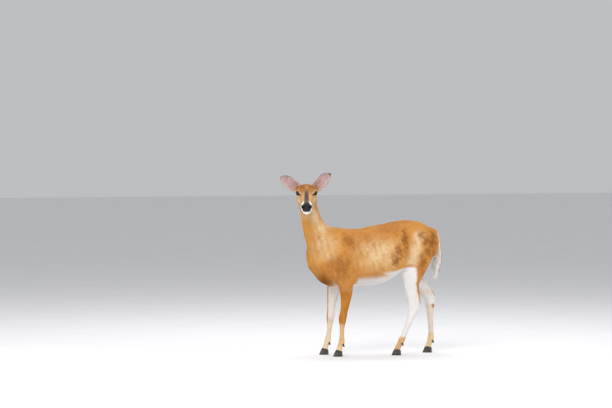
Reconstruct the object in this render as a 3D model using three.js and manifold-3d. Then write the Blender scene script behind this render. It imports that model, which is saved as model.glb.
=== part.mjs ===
// A white-tailed deer doe, life size, standing square on four feet with its head turned to its left.
// Millimetres, +Z up. The doe faces -X, so its left side faces -Y. The floor is z = 0, and the origin
// lies on it, under the middle of the animal.
//
// The flesh is one continuous solid, described by a field that is negative inside it: a trunk and a head
// with measured back lines, belly lines and widths, limbs that are thick lines through the joints, and
// muscles that are ellipsoids, all run together over a blending width. Each sub-part is meshed from that
// one field and parted from its neighbours by a thin plane cut. Ears, eyes, claws and dewclaws are solids
// of their own. The surface is the tip of the coat.
import * as THREE from "three";
import Module from "manifold-3d";
import { mergeVertices } from "three/addons/utils/BufferGeometryUtils.js";

const V = (x, y, z) => new THREE.Vector3(x, y, z);

// ---- Driving dimensions ----
const CUT_GAP = 0.4; // between neighbouring sub-parts
const LEG_TRACK = 80; // from the middle of the body to the middle of a leg
const ORIGIN = V(-93, -26, 0); // where the frame's origin lies in the drawing coordinates below

// Trunk: distance along the body, back line, belly line, height of the widest point, half width.
const TRUNK = [
  [-438, 650, 585, 618, 14], // point of the breast
  [-424, 705, 545, 620, 50],
  [-395, 752, 508, 622, 78],
  [-345, 792, 455, 618, 96],
  [-262, 800, 427, 600, 108], // withers
  [-180, 791, 430, 590, 122],
  [-100, 791, 436, 590, 138], // dip behind the withers
  [-20, 807, 436, 600, 149],
  [60, 820, 456, 620, 152], // deepest of the barrel
  [125, 834, 492, 645, 145],
  [195, 841, 530, 670, 134], // croup
  [265, 834, 552, 690, 128],
  [320, 811, 570, 690, 118],
  [372, 772, 596, 690, 92],
  [395, 734, 622, 682, 60], // buttocks
  [405, 702, 652, 678, 22],
];

// Neck, from inside the breast to the poll: x, y, z, radius, sideways share of the radius.
const NECK = [
  [-325, 0, 640, 96, 0.78],
  [-358, 0, 715, 87, 0.78],
  [-388, 0, 785, 75, 0.8],
  [-408, -1, 835, 65, 0.88],
  [-421, -2, 880, 59, 0.96],
  [-432, -4, 930, 55, 0.97],
  [-440, -3, 988, 47, 1],
];

// Legs at each level: radius fore and aft, and its sideways share.
const FORELEG_GIRTH = {
  elbow: [50, 0.72],
  forearm: [39, 0.76],
  shin: [28.5, 0.86],
  aboveKnee: [23.5, 0.92],
  knee: [24.5, 0.96],
  belowKnee: [21.5, 0.9],
  cannon: [15.5, 0.86],
  aboveFetlock: [15, 0.88],
  fetlock: [19.5, 0.92],
  pastern: [16, 1.0],
  coronet: [18, 1.12],
};
const HINDLEG_GIRTH = {
  hip: [92, 0.52],
  thigh: [94, 0.5],
  stifle: [76, 0.56],
  gaskin: [51, 0.6],
  shank: [35, 0.66],
  hock: [30, 0.76],
  belowHock: [25, 0.76],
  cannon: [18.5, 0.8],
  aboveFetlock: [17, 0.84],
  fetlock: [20.5, 0.88],
  pastern: [17, 0.96],
  coronet: [18.5, 1.08],
};

// The stance: x and z of each leg at those levels.
const STANCE = {
  fore_left: {
    elbow: [-214, 455],
    forearm: [-209, 395],
    shin: [-215, 330],
    aboveKnee: [-224, 278],
    knee: [-231, 242],
    belowKnee: [-234, 214],
    cannon: [-236, 178],
    aboveFetlock: [-237, 118],
    fetlock: [-239, 88],
    pastern: [-248, 60],
    coronet: [-258, 33],
  },
  fore_right: {
    elbow: [-236, 455],
    forearm: [-248, 395],
    shin: [-258, 330],
    aboveKnee: [-263, 278],
    knee: [-266, 242],
    belowKnee: [-268, 214],
    cannon: [-271, 178],
    aboveFetlock: [-279, 118],
    fetlock: [-284, 88],
    pastern: [-294, 60],
    coronet: [-304, 33],
  },
  hind_left: {
    hip: [272, 690],
    thigh: [248, 610],
    stifle: [228, 535],
    gaskin: [215, 455],
    shank: [216, 375],
    hock: [226, 312],
    belowHock: [217, 258],
    cannon: [193, 190],
    aboveFetlock: [164, 122],
    fetlock: [151, 94],
    pastern: [134, 62],
    coronet: [121, 34],
  },
  hind_right: {
    hip: [276, 690],
    thigh: [262, 610],
    stifle: [252, 540],
    gaskin: [276, 474],
    shank: [325, 408],
    hock: [373, 345],
    belowHock: [384, 285],
    cannon: [389, 205],
    aboveFetlock: [392, 122],
    fetlock: [391, 92],
    pastern: [383, 62],
    coronet: [372, 34],
  },
};
const HOCK_POINT = { hind_left: [262, 322], hind_right: [404, 364] };
const TENDON_TOP = { hind_left: [248, 420], hind_right: [338, 452] };
const TENDON_END = { hind_left: [230, 262], hind_right: [394, 296] };

// Head: distance behind the tip of the nose, top line, bottom line, height of the widest point, half width.
const NOSE_TIP = V(-497, -204, 932);
const HEAD_PITCH = 18.5; // degrees that the nose points below the level
const HEAD_TURN = 75; // degrees that the head is turned from the body's line to the left
const HEAD = [
  [0, 11, -9, 1, 12],
  [4, 23, -22, 0, 26],
  [13, 30, -37, -4, 32],
  [28, 33, -47, -7, 34],
  [52, 35, -47, -6, 35],
  [78, 39, -47, -3, 37],
  [104, 47, -52, 3, 43],
  [128, 58, -60, 14, 52],
  [152, 69, -67, 22, 61],
  [178, 76, -72, 24, 62],
  [205, 78, -71, 22, 60],
  [232, 71, -56, 16, 52],
  [252, 60, -34, 13, 44],
  [266, 44, -12, 16, 30],
  [274, 26, 2, 14, 9],
];
const EYE = { back: 146, out: 46.5, up: 42, radius: 17.5 };
const EYE_CLEARANCE = 0.4;

// Ears: where each is rooted in the head's own frame, its size and how it is set.
const EAR = {
  root: [204, 55, 47],
  length: 142,
  width: 75,
  thickness: 4,
  cut: 5, // how far out along the ear it parts from the head
};
const EAR_SET = {
  left: { spread: 49, back: 22, facing: 12 },
  right: { spread: 57, back: 10, facing: 4 },
};

// Tail: x, z, radius fore and aft, and its sideways share.
const TAIL = [
  [362, 774, 22, 0.9],
  [389, 761, 17, 1.3],
  [405, 725, 14, 1.9],
  [412, 670, 15, 2.1],
  [412, 605, 17.5, 1.9],
  [405, 548, 16.5, 1.8],
  [399, 512, 11, 1.6],
  [396, 494, 4, 1.4],
];

// Feet: each claw is the half of a cloven hoof. The coronet slopes down to the heel.
const CLAW = { behind: 2, toe: 38, heel: 20, width: 21, split: 1.4, height: 38, slope: 0.3, topToe: 17, topHeel: 18, topWidth: 19 };
const DEWCLAW = { length: 24, radius: 6.5, apart: 12, level: 70, behind: 17 };

const COLOURS = {
  coat: 0xc98238,
  neck: 0xc08a4c,
  face: 0x8a5a30,
  pale: 0xefe4d2,
  leg: 0xc4935a,
  nose: 0x1b1a20,
  eye: 0x140d0a,
  ear: 0xb48c84,
  hoof: 0x2b2622,
};

// ---- Small helpers ----
const lerp = THREE.MathUtils.lerp;
const clamp = THREE.MathUtils.clamp;
const radians = THREE.MathUtils.degToRad;

/** The smaller of two distances, run together over the width k. */
const blend = (a, b, k) => {
  const h = Math.max(k - Math.abs(a - b), 0) / k;
  return Math.min(a, b) - (h * h * k) / 4;
};

/** A smooth curve through rows of numbers, as rows at `steps` points between each pair. */
function smoothRows(rows, steps, knots = null) {
  const at = knots ?? rows.map((row) => row[0]);
  const slope = (i, c) => {
    const a = Math.max(i - 1, 0);
    const b = Math.min(i + 1, rows.length - 1);
    return (rows[b][c] - rows[a][c]) / (at[b] - at[a]);
  };
  const out = [];
  for (let i = 0; i < rows.length - 1; i++) {
    const span = at[i + 1] - at[i];
    for (let s = 0; s < steps; s++) {
      const t = s / steps;
      const h1 = t * t * (3 - 2 * t);
      const h0 = 1 - h1;
      const g0 = t * (1 - t) * (1 - t);
      const g1 = -t * t * (1 - t);
      out.push(
        rows[i].map((v, c) => h0 * v + h1 * rows[i + 1][c] + span * (g0 * slope(i, c) + g1 * slope(i + 1, c))),
      );
    }
  }
  out.push([...rows.at(-1)]);
  return out;
}

// ---- Shapes, each with a distance that is negative inside ----

/** A body along one axis of its own frame, with a top line, a bottom line and a half width at each station. */
class Barrel {
  constructor(frame, rows, roundness) {
    this.inverse = frame.clone().invert();
    this.rows = smoothRows(rows, 8);
    this.roundness = roundness;
  }

  distance(p) {
    const q = p.clone().applyMatrix4(this.inverse);
    const rows = this.rows;
    const x = clamp(q.x, rows[0][0], rows.at(-1)[0]);
    let i = 0;
    while (i < rows.length - 2 && rows[i + 1][0] < x) i++;
    const t = (x - rows[i][0]) / (rows[i + 1][0] - rows[i][0]);
    const [, top, bottom, waist, half] = rows[i].map((v, c) => lerp(v, rows[i + 1][c], t));
    const up = q.z - waist;
    const reach = Math.max(up > 0 ? top - waist : waist - bottom, 1);
    const n = this.roundness;
    const share = (Math.abs(q.y / Math.max(half, 1)) ** n + Math.abs(up / reach) ** n) ** (1 / n);
    const radial = share < 1e-6 ? -Math.min(half, reach) : Math.hypot(q.y, up) * (1 - 1 / share);
    const past = Math.abs(q.x - x);
    return past > 0 ? Math.hypot(Math.max(radial, 0), past) : radial;
  }
}

/** A thick line through stations x, y, z, radius, sideways share; its sideways direction is the frame's Y. */
class Limb {
  constructor(rows, steps = 5) {
    let run = 0;
    const knots = rows.map((row, i) => {
      if (i) run += Math.hypot(...[0, 1, 2].map((c) => row[c] - rows[i - 1][c]));
      return run;
    });
    this.rows = smoothRows(rows, steps, knots);
    this.points = this.rows.map(([x, y, z]) => V(x, y, z));
  }

  distance(p) {
    let best = Infinity;
    for (let i = 0; i < this.points.length - 1; i++) {
      const a = this.points[i];
      const ab = V().subVectors(this.points[i + 1], a);
      const w = V().subVectors(p, a);
      const t = clamp(w.dot(ab) / ab.lengthSq(), 0, 1);
      w.addScaledVector(ab, -t);
      const radius = lerp(this.rows[i][3], this.rows[i + 1][3], t);
      const share = lerp(this.rows[i][4], this.rows[i + 1][4], t);
      const true_ = w.length();
      const drawn = Math.hypot(w.x, w.y / share, w.z);
      best = Math.min(best, drawn < 1e-6 ? -radius * share : true_ * (1 - radius / drawn));
    }
    return best;
  }

  /** Where the line is at a share of its length, and its direction there. */
  at(share) {
    const f = share * (this.points.length - 1);
    const i = Math.min(Math.floor(f), this.points.length - 2);
    const centre = V().lerpVectors(this.points[i], this.points[i + 1], f - i);
    const a = this.points[Math.max(i - 2, 0)];
    const b = this.points[Math.min(i + 3, this.points.length - 1)];
    return { centre, along: V().subVectors(b, a).normalize(), radius: lerp(this.rows[i][3], this.rows[i + 1][3], f - i) };
  }
}

/** An ellipsoid with radii, in a frame. */
class Muscle {
  constructor(frame, radii) {
    this.inverse = frame.clone().invert();
    this.radii = radii;
  }

  distance(p) {
    const q = p.clone().applyMatrix4(this.inverse);
    const near = V().copy(q).divide(this.radii).length();
    const far = V().copy(q).divide(this.radii).divide(this.radii).length();
    return far < 1e-9 ? -Math.min(...this.radii.toArray()) : (near * (near - 1)) / far;
  }
}

/** A frame at a point, turned by degrees about its own X, then Y, then Z. */
const frameAt = (point, turn = [0, 0, 0]) =>
  new THREE.Matrix4()
    .makeRotationFromEuler(new THREE.Euler(...turn.map(radians), "ZYX"))
    .setPosition(point);

// The head's frame: X backwards from the tip of the nose, Y to the doe's right, Z up.
const HEAD_FRAME = frameAt(NOSE_TIP, [0, -HEAD_PITCH, HEAD_TURN]);
const inHead = (back, side, up) => V(back, side, up).applyMatrix4(HEAD_FRAME);

// ---- The flesh ----
const SIDES = { left: -1, right: 1 };

const legRows = (girth, stance, side) =>
  Object.keys(girth).map((level) => {
    const [x, z] = stance[level];
    return [x, side * LEG_TRACK, z, ...girth[level]];
  });

const legs = {};
for (const [name, side] of Object.entries(SIDES)) {
  legs["fore_" + name] = new Limb(legRows(FORELEG_GIRTH, STANCE["fore_" + name], side));
  legs["hind_" + name] = new Limb(legRows(HINDLEG_GIRTH, STANCE["hind_" + name], side));
}
const trunk = new Barrel(new THREE.Matrix4(), TRUNK, 2.15);
const neck = new Limb(NECK);
const skull = new Barrel(HEAD_FRAME, HEAD, 2.2);
const tail = new Limb(TAIL.map(([x, z, r, f]) => [x, 0, z, r, f]));

// Each muscle: centre, radii, turn in degrees, blending width. The sideways coordinate is outward.
const BODY_MUSCLES = [
  [[-280, 72, 652], [56, 34, 106], [12, -16, 0], 30], // shoulder blade
  [[-222, 82, 540], [66, 36, 66], [0, 20, 0], 26], // triceps
  [[-352, 62, 580], [50, 40, 58], [0, 10, 0], 30], // point of the shoulder
  [[-176, 80, 470], [20, 17, 24], [0, 0, 0], 18], // elbow
  [[240, 66, 738], [120, 62, 84], [0, 8, 0], 40], // rump
  [[178, 92, 778], [34, 22, 24], [0, 0, 0], 26], // point of the hip
  [[364, 46, 702], [36, 33, 58], [0, 8, 0], 30], // pin bone and buttock
  [[90, 118, 640], [120, 34, 110], [0, 0, 0], 40], // barrel of the ribs
];
const HEAD_MUSCLES = [
  [[152, 42, 55], [27, 15, 11], [0, 0, 0], 20], // brow
  [[178, 39, -22], [38, 19, 40], [0, 0, 0], 18], // cheek
  [[136, 44, 14], [34, 12, 13], [0, -6, 0], 14], // cheekbone
  [[10, 21, 6], [12, 12, 16], [0, 0, 0], 8], // wing of the nostril
  [[24, 18, -20], [24, 12, 13], [0, 0, 0], 10], // upper lip
  [[32, 0, -42], [20, 19, 10], [0, 0, 0], 10], // chin
  [[204, 49, 42], [28, 24, 27], [0, 0, 0], 22], // root of the ear
];

const fleshParts = [
  [trunk, 1],
  [neck, 46],
  [skull, 30],
  [legs.fore_left, 30],
  [legs.fore_right, 30],
  [legs.hind_left, 34],
  [legs.hind_right, 34],
];
const sidedFrame = ([x, y, z], [a, b, c], side) => frameAt(V(x, side * y, z), [a * side, b, c * side]);
for (const side of Object.values(SIDES)) {
  for (const [centre, radii, turn, width] of BODY_MUSCLES)
    fleshParts.push([new Muscle(sidedFrame(centre, turn, side), V(...radii)), width]);
  for (const [centre, radii, turn, width] of HEAD_MUSCLES) {
    const frame = HEAD_FRAME.clone().multiply(sidedFrame(centre, turn, side));
    fleshParts.push([new Muscle(frame, V(...radii)), width]);
  }
}
for (const name of ["hind_left", "hind_right"]) {
  const y = SIDES[name.slice(5)] * LEG_TRACK;
  const [x0, z0] = TENDON_TOP[name];
  const [x1, z1] = HOCK_POINT[name];
  const [x2, z2] = TENDON_END[name];
  const tendon = [[x0, y, z0, 14, 0.8], [x1, y, z1, 11, 0.9], [x2, y, z2, 12, 0.9]];
  fleshParts.push([new Limb(tendon, 3), 18]);
}

/** The whole body but its tail: how far a point is outside it. */
const flesh = (p) => {
  let d = Infinity;
  for (const [shape, width] of fleshParts) {
    const other = shape.distance(p);
    d = d === Infinity ? other : blend(d, other, width);
  }
  return d;
};

// ---- Meshing ----

/** A closed mesh of rings of points, each ring with as many points, capped by a fan at both ends. */
function ringSolid(rings) {
  const sides = rings[0].length;
  const points = rings.flat();
  const index = [];
  for (let r = 0; r < rings.length - 1; r++)
    for (let s = 0; s < sides; s++) {
      const a = r * sides + s;
      const b = r * sides + ((s + 1) % sides);
      index.push(a, b, b + sides, a, b + sides, a + sides);
    }
  for (const [first, flip] of [[0, true], [rings.length - 1, false]]) {
    const middle = points.length;
    const centre = rings[first].reduce((sum, p) => sum.add(p), V(0, 0, 0)).divideScalar(sides);
    points.push(centre);
    for (let s = 0; s < sides; s++) {
      const a = first * sides + s;
      const b = first * sides + ((s + 1) % sides);
      index.push(middle, ...(flip ? [b, a] : [a, b]));
    }
  }
  return solid(points, index);
}

/** Where a ray from inside the field first leaves it, no further than `most`. */
function leaves(field, from, way, most) {
  const at = (r) => V().copy(from).addScaledVector(way, r);
  const step = most / 24;
  let inner = 0;
  while (inner + step < most && field(at(inner + step)) < 0) inner += step;
  let outer = inner + step;
  for (let i = 0; i < 12; i++) {
    const middle = (inner + outer) / 2;
    if (field(at(middle)) < 0) inner = middle;
    else outer = middle;
  }
  return at(inner);
}

/** The field's skin round a row of stations, each a centre, a sideways way, an upward way and a reach. */
function skinSolid(field, stations, sides) {
  return ringSolid(
    stations.map(({ centre, sideways, upward, reach }) =>
      Array.from({ length: sides }, (_, s) => {
        const turn = (2 * Math.PI * (s + 0.5)) / sides;
        const way = V().addScaledVector(sideways, Math.cos(turn)).addScaledVector(upward, Math.sin(turn));
        return leaves(field, centre, way, reach);
      }),
    ),
  );
}

/** The field's skin round a limb's centre line, between two shares of its length. */
function sleeve(field, line, from, to, rings, sides, reach = 1.7) {
  const stations = Array.from({ length: rings + 1 }, (_, r) => {
    const { centre, along, radius } = line.at(lerp(from, to, r / rings));
    const sideways = V(0, 1, 0).addScaledVector(along, -along.y).normalize();
    return { centre, sideways, upward: V().crossVectors(along, sideways), reach: radius * reach };
  });
  return skinSolid(field, stations, sides);
}

// ---- Cutting and joining ----
const wasm = await Module();
wasm.setup();

/** A manifold solid from points and triangle corners. */
function solid(points, index) {
  return new wasm.Manifold(
    new wasm.Mesh({
      numProp: 3,
      vertProperties: new Float32Array(points.flatMap((p) => p.toArray())),
      triVerts: new Uint32Array(index),
    }),
  );
}

/** A manifold solid from one of three.js's own closed geometries. */
function solidOf(geometry) {
  geometry.deleteAttribute("normal");
  geometry.deleteAttribute("uv");
  const merged = mergeVertices(geometry, 1e-3);
  const at = merged.attributes.position;
  const points = Array.from({ length: at.count }, (_, i) => V().fromBufferAttribute(at, i));
  return solid(points, [...merged.index.array]);
}

/** Keeps what lies on the side that the direction points to, half a gap short of the plane. */
const keep = (shape, through, towards) => {
  const n = towards.clone().normalize();
  return shape.trimByPlane(n.toArray(), n.dot(through) + CUT_GAP / 2);
};
const part = (shape, through, towards) => [
  keep(shape, through, towards),
  keep(shape, through, towards.clone().negate()),
];
/** The largest body of a shape, as slivers may be left by a cut. */
const main = (shape) => shape.decompose().sort((a, b) => b.volume() - a.volume())[0];

const doe = new THREE.Group();
doe.position.copy(ORIGIN).negate();

function add(name, shape, colour, roughness = 0.85) {
  const mesh = shape.getMesh();
  const geometry = new THREE.BufferGeometry()
    .setAttribute("position", new THREE.BufferAttribute(new Float32Array(mesh.vertProperties), 3))
    .setIndex(new THREE.BufferAttribute(new Uint32Array(mesh.triVerts), 1));
  geometry.computeVertexNormals();
  const node = new THREE.Mesh(geometry, new THREE.MeshStandardMaterial({ color: colour, roughness, metalness: 0 }));
  node.name = name;
  doe.add(node);
}

// ---- Trunk, in forequarters, barrel and hindquarters ----
const NECK_CUT = { through: V(-292, 0, 792), towards: V(-0.83, 0, 0.56) };
const FORELEG_CUT = 418; // height at which the forelegs leave the trunk
const HINDLEG_CUT = 472;
const GIRTH_CUT = -150; // behind the elbows
const LOIN_CUT = 118; // in front of the thighs
const TRUNK_RINGS = 31;
const TRUNK_SIDES = 28;

const trunkStations = Array.from({ length: TRUNK_RINGS + 1 }, (_, r) => {
  const x = lerp(TRUNK[0][0] - 4, TRUNK.at(-1)[0] + 2, r / TRUNK_RINGS);
  const middle = lerp(612, 676, THREE.MathUtils.smoothstep(x, -60, 260));
  return { centre: V(x, 0, middle), sideways: V(0, 1, 0), upward: V(0, 0, 1), reach: 300 };
});
const whole = skinSolid(flesh, trunkStations, TRUNK_SIDES);
const body = keep(whole, NECK_CUT.through, NECK_CUT.towards.clone().negate());
const [front, rest] = part(body, V(GIRTH_CUT, 0, 0), V(-1, 0, 0));
const [barrel, hind] = part(rest, V(LOIN_CUT, 0, 0), V(-1, 0, 0));
add("trunk_forequarters", main(keep(front, V(0, 0, FORELEG_CUT), V(0, 0, 1))), COLOURS.coat);
add("trunk_barrel", main(barrel), COLOURS.coat);

// ---- Tail, set into the rump ----
const tailSkin = (growth) => sleeve((p) => tail.distance(p) - growth, tail, 0, 1, 14, 10);
const rump = keep(hind, V(0, 0, HINDLEG_CUT), V(0, 0, 1));
add("trunk_hindquarters", main(rump.subtract(tailSkin(CUT_GAP))), COLOURS.coat);
add("tail", tailSkin(0), COLOURS.pale);

// ---- Neck, its rings fanning out from the cut at its root to the cut behind the jaw ----
const HEAD_CUT = { through: inHead(146, 0, -88), towards: V(-0.68, 0, 0.73).transformDirection(HEAD_FRAME) };
const MID_NECK = { through: V(-405, -1, 820), towards: V(-0.24, 0, 0.97) };
const ROOT_CENTRE = V(-352, 0, 702);
const TOP_CENTRE = inHead(202, 0, -30);
const NECK_RINGS = 7; // on each side of the middle of the neck
const towardsFace = (p) => V().subVectors(p, HEAD_CUT.through).dot(HEAD_CUT.towards);
const neckFlesh = (p) => Math.max(flesh(p), towardsFace(p) - 4);
const headFlesh = (p) => Math.max(flesh(p), -towardsFace(p) - 30);

/** Stations on planes that turn about the line where the first plane meets the last. */
function fan(first, firstCentre, last, lastCentre, count, overshoot) {
  const offset = (cut) => cut.towards.clone().normalize().dot(cut.through);
  return Array.from({ length: count + 1 }, (_, r) => {
    const t = lerp(overshoot[0], 1 + overshoot[1], r / count);
    const normal = V().lerpVectors(first.towards.clone().normalize(), last.towards.clone().normalize(), t);
    const away = lerp(offset(first), offset(last), t) / normal.length();
    normal.normalize();
    const centre = V().lerpVectors(firstCentre, lastCentre, t);
    centre.addScaledVector(normal, away - centre.dot(normal));
    const sideways = V(1, 0, 0).addScaledVector(normal, -normal.x).normalize();
    return { centre, sideways, upward: V().crossVectors(normal, sideways), reach: 190 };
  });
}

const neckStations = [
  ...fan(NECK_CUT, ROOT_CENTRE, MID_NECK, MID_NECK.through, NECK_RINGS, [-0.04, 0]),
  ...fan(MID_NECK, MID_NECK.through, HEAD_CUT, TOP_CENTRE, NECK_RINGS, [0, 0.02]).slice(1),
];
const neckSolid = keep(skinSolid(neckFlesh, neckStations, 18), NECK_CUT.through, NECK_CUT.towards);
add("neck", main(keep(neckSolid, HEAD_CUT.through, HEAD_CUT.towards.clone().negate())), COLOURS.neck);

// ---- Legs ----
const LEG_CUTS = { fore: [FORELEG_CUT, 243, 92], hind: [HINDLEG_CUT, 290, 96] };
const LEG_SHARES = { fore: [[0, 0.46], [0.35, 0.86], [0.74, 1]], hind: [[0.2, 0.59], [0.41, 0.87], [0.76, 1]] };
const LEG_PIECES = { fore: ["forearm", "cannon", "pastern"], hind: ["gaskin", "cannon", "pastern"] };
const LEG_RINGS = { fore: [7, 8, 4], hind: [8, 9, 4] };

/** One claw of a hoof: a wedge with a flat inner wall, its sole on the floor and its toe towards -X. */
function claw(x, y, side) {
  const outline = (toe, heel, width) => [
    [heel, 0],
    [heel + 3, width * 0.45],
    [heel * 0.5, width * 0.95],
    [-toe * 0.2, width],
    [-toe * 0.6, width * 0.78],
    [-toe * 0.9, width * 0.36],
    [-toe, width * 0.1],
    [-toe * 0.9, 0],
    [-toe * 0.4, 0],
  ];
  const { toe, heel, width, split, height, slope, topToe, topHeel, topWidth } = CLAW;
  const ring = (share) => {
    const t = lerp(toe, topToe, share);
    const h = lerp(heel, topHeel, share);
    const w = lerp(width, topWidth, share);
    return outline(t, h, w).map(([px, py]) => {
      const up = share * (height - slope * px - CUT_GAP);
      return V(x + px, y + side * (py + split), up);
    });
  };
  const rings = [ring(0), ring(0.5), ring(1)];
  return ringSolid(side > 0 ? rings : rings.map((points) => points.reverse()));
}

for (const [name, leg] of Object.entries(legs)) {
  const [end, sideName] = name.split("_");
  const side = SIDES[sideName];
  const y = side * LEG_TRACK;
  const stance = STANCE[name];
  const cuts = LEG_CUTS[end];
  const clawX = stance.coronet[0] + CLAW.behind;
  const coronet = { through: V(clawX, y, CLAW.height), towards: V(CLAW.slope, 0, 1) };
  const solids = LEG_PIECES[end].map((piece, i) => {
    const [from, to] = LEG_SHARES[end][i];
    let shape = sleeve(flesh, leg, from, to, LEG_RINGS[end][i], i ? 10 : 12, i ? 1.7 : 1.6);
    shape = keep(shape, V(0, 0, cuts[i]), V(0, 0, -1));
    if (i < 2) shape = keep(shape, V(0, 0, cuts[i + 1]), V(0, 0, 1));
    else shape = keep(shape, coronet.through, coronet.towards);
    return main(shape);
  });
  solids.forEach((shape, i) => add(name + "_" + LEG_PIECES[end][i], shape, COLOURS.leg));
  for (const [part_, out] of [["outer", side], ["inner", -side]]) {
    add(name + "_claw_" + part_, claw(clawX, y, out), COLOURS.hoof, 0.5);
    const spot = V(stance.pastern[0] + DEWCLAW.behind, y + out * DEWCLAW.apart, DEWCLAW.level);
    const spur = new THREE.SphereGeometry(1, 6, 4)
      .scale(DEWCLAW.radius, DEWCLAW.radius, DEWCLAW.length / 2)
      .applyMatrix4(frameAt(spot, [0, -28, 0]));
    const cut = main(solidOf(spur).subtract(solids[2]).subtract(solids[1]));
    add(name + "_dewclaw_" + part_, cut.translate([0.35, out * 0.25, 0]), COLOURS.hoof, 0.5);
  }
}

// ---- Head ----
const JAW_CUT = { front: -27, back: -35, corner: 108 }; // height at the lips and at the corner of the mouth
const MUZZLE_CUT = 96;
const NOSE_PAD = { back: 3, up: 4, radii: [27, 34, 28] };

const headLine = {
  at: (share) => {
    const back = lerp(HEAD[0][0] + 0.2, HEAD.at(-1)[0] + 1, share ** 1.25);
    return { centre: inHead(back, 0, lerp(-4, 6, share)), radius: 58, along: inHead(1, 0, 0).sub(inHead(0, 0, 0)) };
  },
};

/** The head's skin, as rings square to its own axis. */
function headShell(rings, sides) {
  const up = inHead(0, 0, 1).sub(inHead(0, 0, 0));
  const right = inHead(0, 1, 0).sub(inHead(0, 0, 0));
  const out = [];
  for (let r = 0; r <= rings; r++) {
    const { centre, radius } = headLine.at(r / rings);
    out.push(
      Array.from({ length: sides }, (_, s) => {
        const turn = (2 * Math.PI * s) / sides;
        const way = V().addScaledVector(right, Math.cos(turn)).addScaledVector(up, Math.sin(turn));
        return leaves(headFlesh, centre, way, radius * 1.75);
      }),
    );
  }
  return ringSolid(out);
}

const headWhole = keep(headShell(20, 22), HEAD_CUT.through, HEAD_CUT.towards);
const headAxis = inHead(1, 0, 0).sub(inHead(0, 0, 0));
const mouthRise = Math.atan2(JAW_CUT.front - JAW_CUT.back, JAW_CUT.corner);
const mouthNormal = V(Math.sin(mouthRise), 0, Math.cos(mouthRise)).transformDirection(HEAD_FRAME);
const mouth = { through: inHead(0, 0, JAW_CUT.front), towards: mouthNormal };
const [frontHead, backHead] = part(headWhole, inHead(MUZZLE_CUT, 0, 0), headAxis.clone().negate());
const [upperFace, lowerFace] = part(frontHead, mouth.through, mouth.towards);

let cranium = main(backHead);
let muzzle = main(upperFace);
const pad = new THREE.SphereGeometry(1, 12, 8)
  .scale(...NOSE_PAD.radii)
  .applyMatrix4(HEAD_FRAME.clone().multiply(frameAt(V(NOSE_PAD.back, 0, NOSE_PAD.up))));
const padSolid = solidOf(pad.clone());
const padSocket = solidOf(
  new THREE.SphereGeometry(1, 12, 8)
    .scale(...NOSE_PAD.radii.map((r) => r + CUT_GAP))
    .applyMatrix4(HEAD_FRAME.clone().multiply(frameAt(V(NOSE_PAD.back, 0, NOSE_PAD.up)))),
);
add("nose", main(muzzle.intersect(padSolid)), COLOURS.nose, 0.4);
muzzle = main(muzzle.subtract(padSocket));
add("muzzle", muzzle, COLOURS.face);
add("jaw", main(lowerFace), COLOURS.pale);

// ---- Eyes ----
for (const [name, side] of Object.entries(SIDES)) {
  // the head faces the doe's left, yet its own Y still points to the doe's right
  const centre = inHead(EYE.back, side * EYE.out, EYE.up);
  const ball = (radius) => solidOf(new THREE.SphereGeometry(radius, 12, 9).translate(...centre.toArray()));
  add("eye_" + name, ball(EYE.radius), COLOURS.eye, 0.1);
  cranium = main(cranium.subtract(ball(EYE.radius + EYE_CLEARANCE)));
}

// ---- Ears ----
/** An ear's cup: a curved leaf with a thickness, from its root to its tip. */
function earShell(side, set) {
  const { root, length, width, thickness } = EAR;
  const [backR, sideR, upR] = root;
  const rings = 10;
  const across = 7;
  const axis = V(Math.sin(radians(set.back)), side * Math.sin(radians(set.spread)), Math.cos(radians(set.spread)));
  axis.setY(axis.y * Math.cos(radians(set.back))).setZ(axis.z * Math.cos(radians(set.back))).normalize();
  // the opening faces forwards and a little outwards
  const open = V(-1, side * Math.sin(radians(set.facing)), 0);
  open.addScaledVector(axis, -open.dot(axis)).normalize();
  const wide = V().crossVectors(axis, open).normalize();
  const points = [];
  for (let r = 0; r <= rings; r++) {
    const s = r / rings;
    const half = (width / 2) * Math.max(Math.sin(Math.PI * Math.min(0.14 + 0.86 * s ** 1.2, 1)) ** 0.62, 0.05);
    const bend = lerp(2.2, 0.75, Math.min(s * 1.5, 1)); // half the angle that the cup turns through
    const radius = half / Math.sin(Math.min(bend, Math.PI / 2));
    const ring = [];
    for (const outer of [true, false])
      for (let c = 0; c <= across; c++) {
        const u = outer ? c / across : 1 - c / across;
        const turn = lerp(bend, -bend, u);
        const rr = radius - (outer ? 0 : thickness * lerp(1.2, 0.75, s));
        const along = s * (length + 14) - 14;
        const deep = rr * Math.cos(turn) - radius * Math.cos(bend) * 0.55;
        ring.push(
          inHead(backR, side * sideR, upR).add(
            V(0, 0, 0)
              .addScaledVector(axis, along)
              .addScaledVector(open, -deep)
              .addScaledVector(wide, rr * Math.sin(turn))
              .transformDirection(HEAD_FRAME)
              .multiplyScalar(Math.hypot(along, deep, rr * Math.sin(turn))),
          ),
        );
      }
    points.push(ring);
  }
  return { shape: ringSolid(points), axis: axis.clone().transformDirection(HEAD_FRAME) };
}

for (const [name, side] of Object.entries(SIDES)) {
  const { shape, axis } = earShell(side, EAR_SET[name]);
  const through = inHead(EAR.root[0], side * EAR.root[1], EAR.root[2]).addScaledVector(axis, EAR.cut);
  add("ear_" + name, main(keep(shape, through, axis)), COLOURS.ear);
  cranium = main(keep(cranium, through, axis.clone().negate()));
}
add("head", cranium, COLOURS.face);

export default doe;
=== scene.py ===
"""A white-tailed doe, life size, standing with its hind legs apart and its head turned to its left.

The doe's flesh is one skin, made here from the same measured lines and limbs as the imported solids, and
lying inside them by the depth of the coat. The coat itself is short tufts of solid mesh over that skin.
Shapes are worked out in millimetres in the doe's drawing coordinates and are turned into the frame's
metres where a mesh is made.
"""

from __future__ import annotations

import logging
import math
from dataclasses import dataclass, field
from enum import Enum
from typing import Callable, Optional, Sequence

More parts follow.
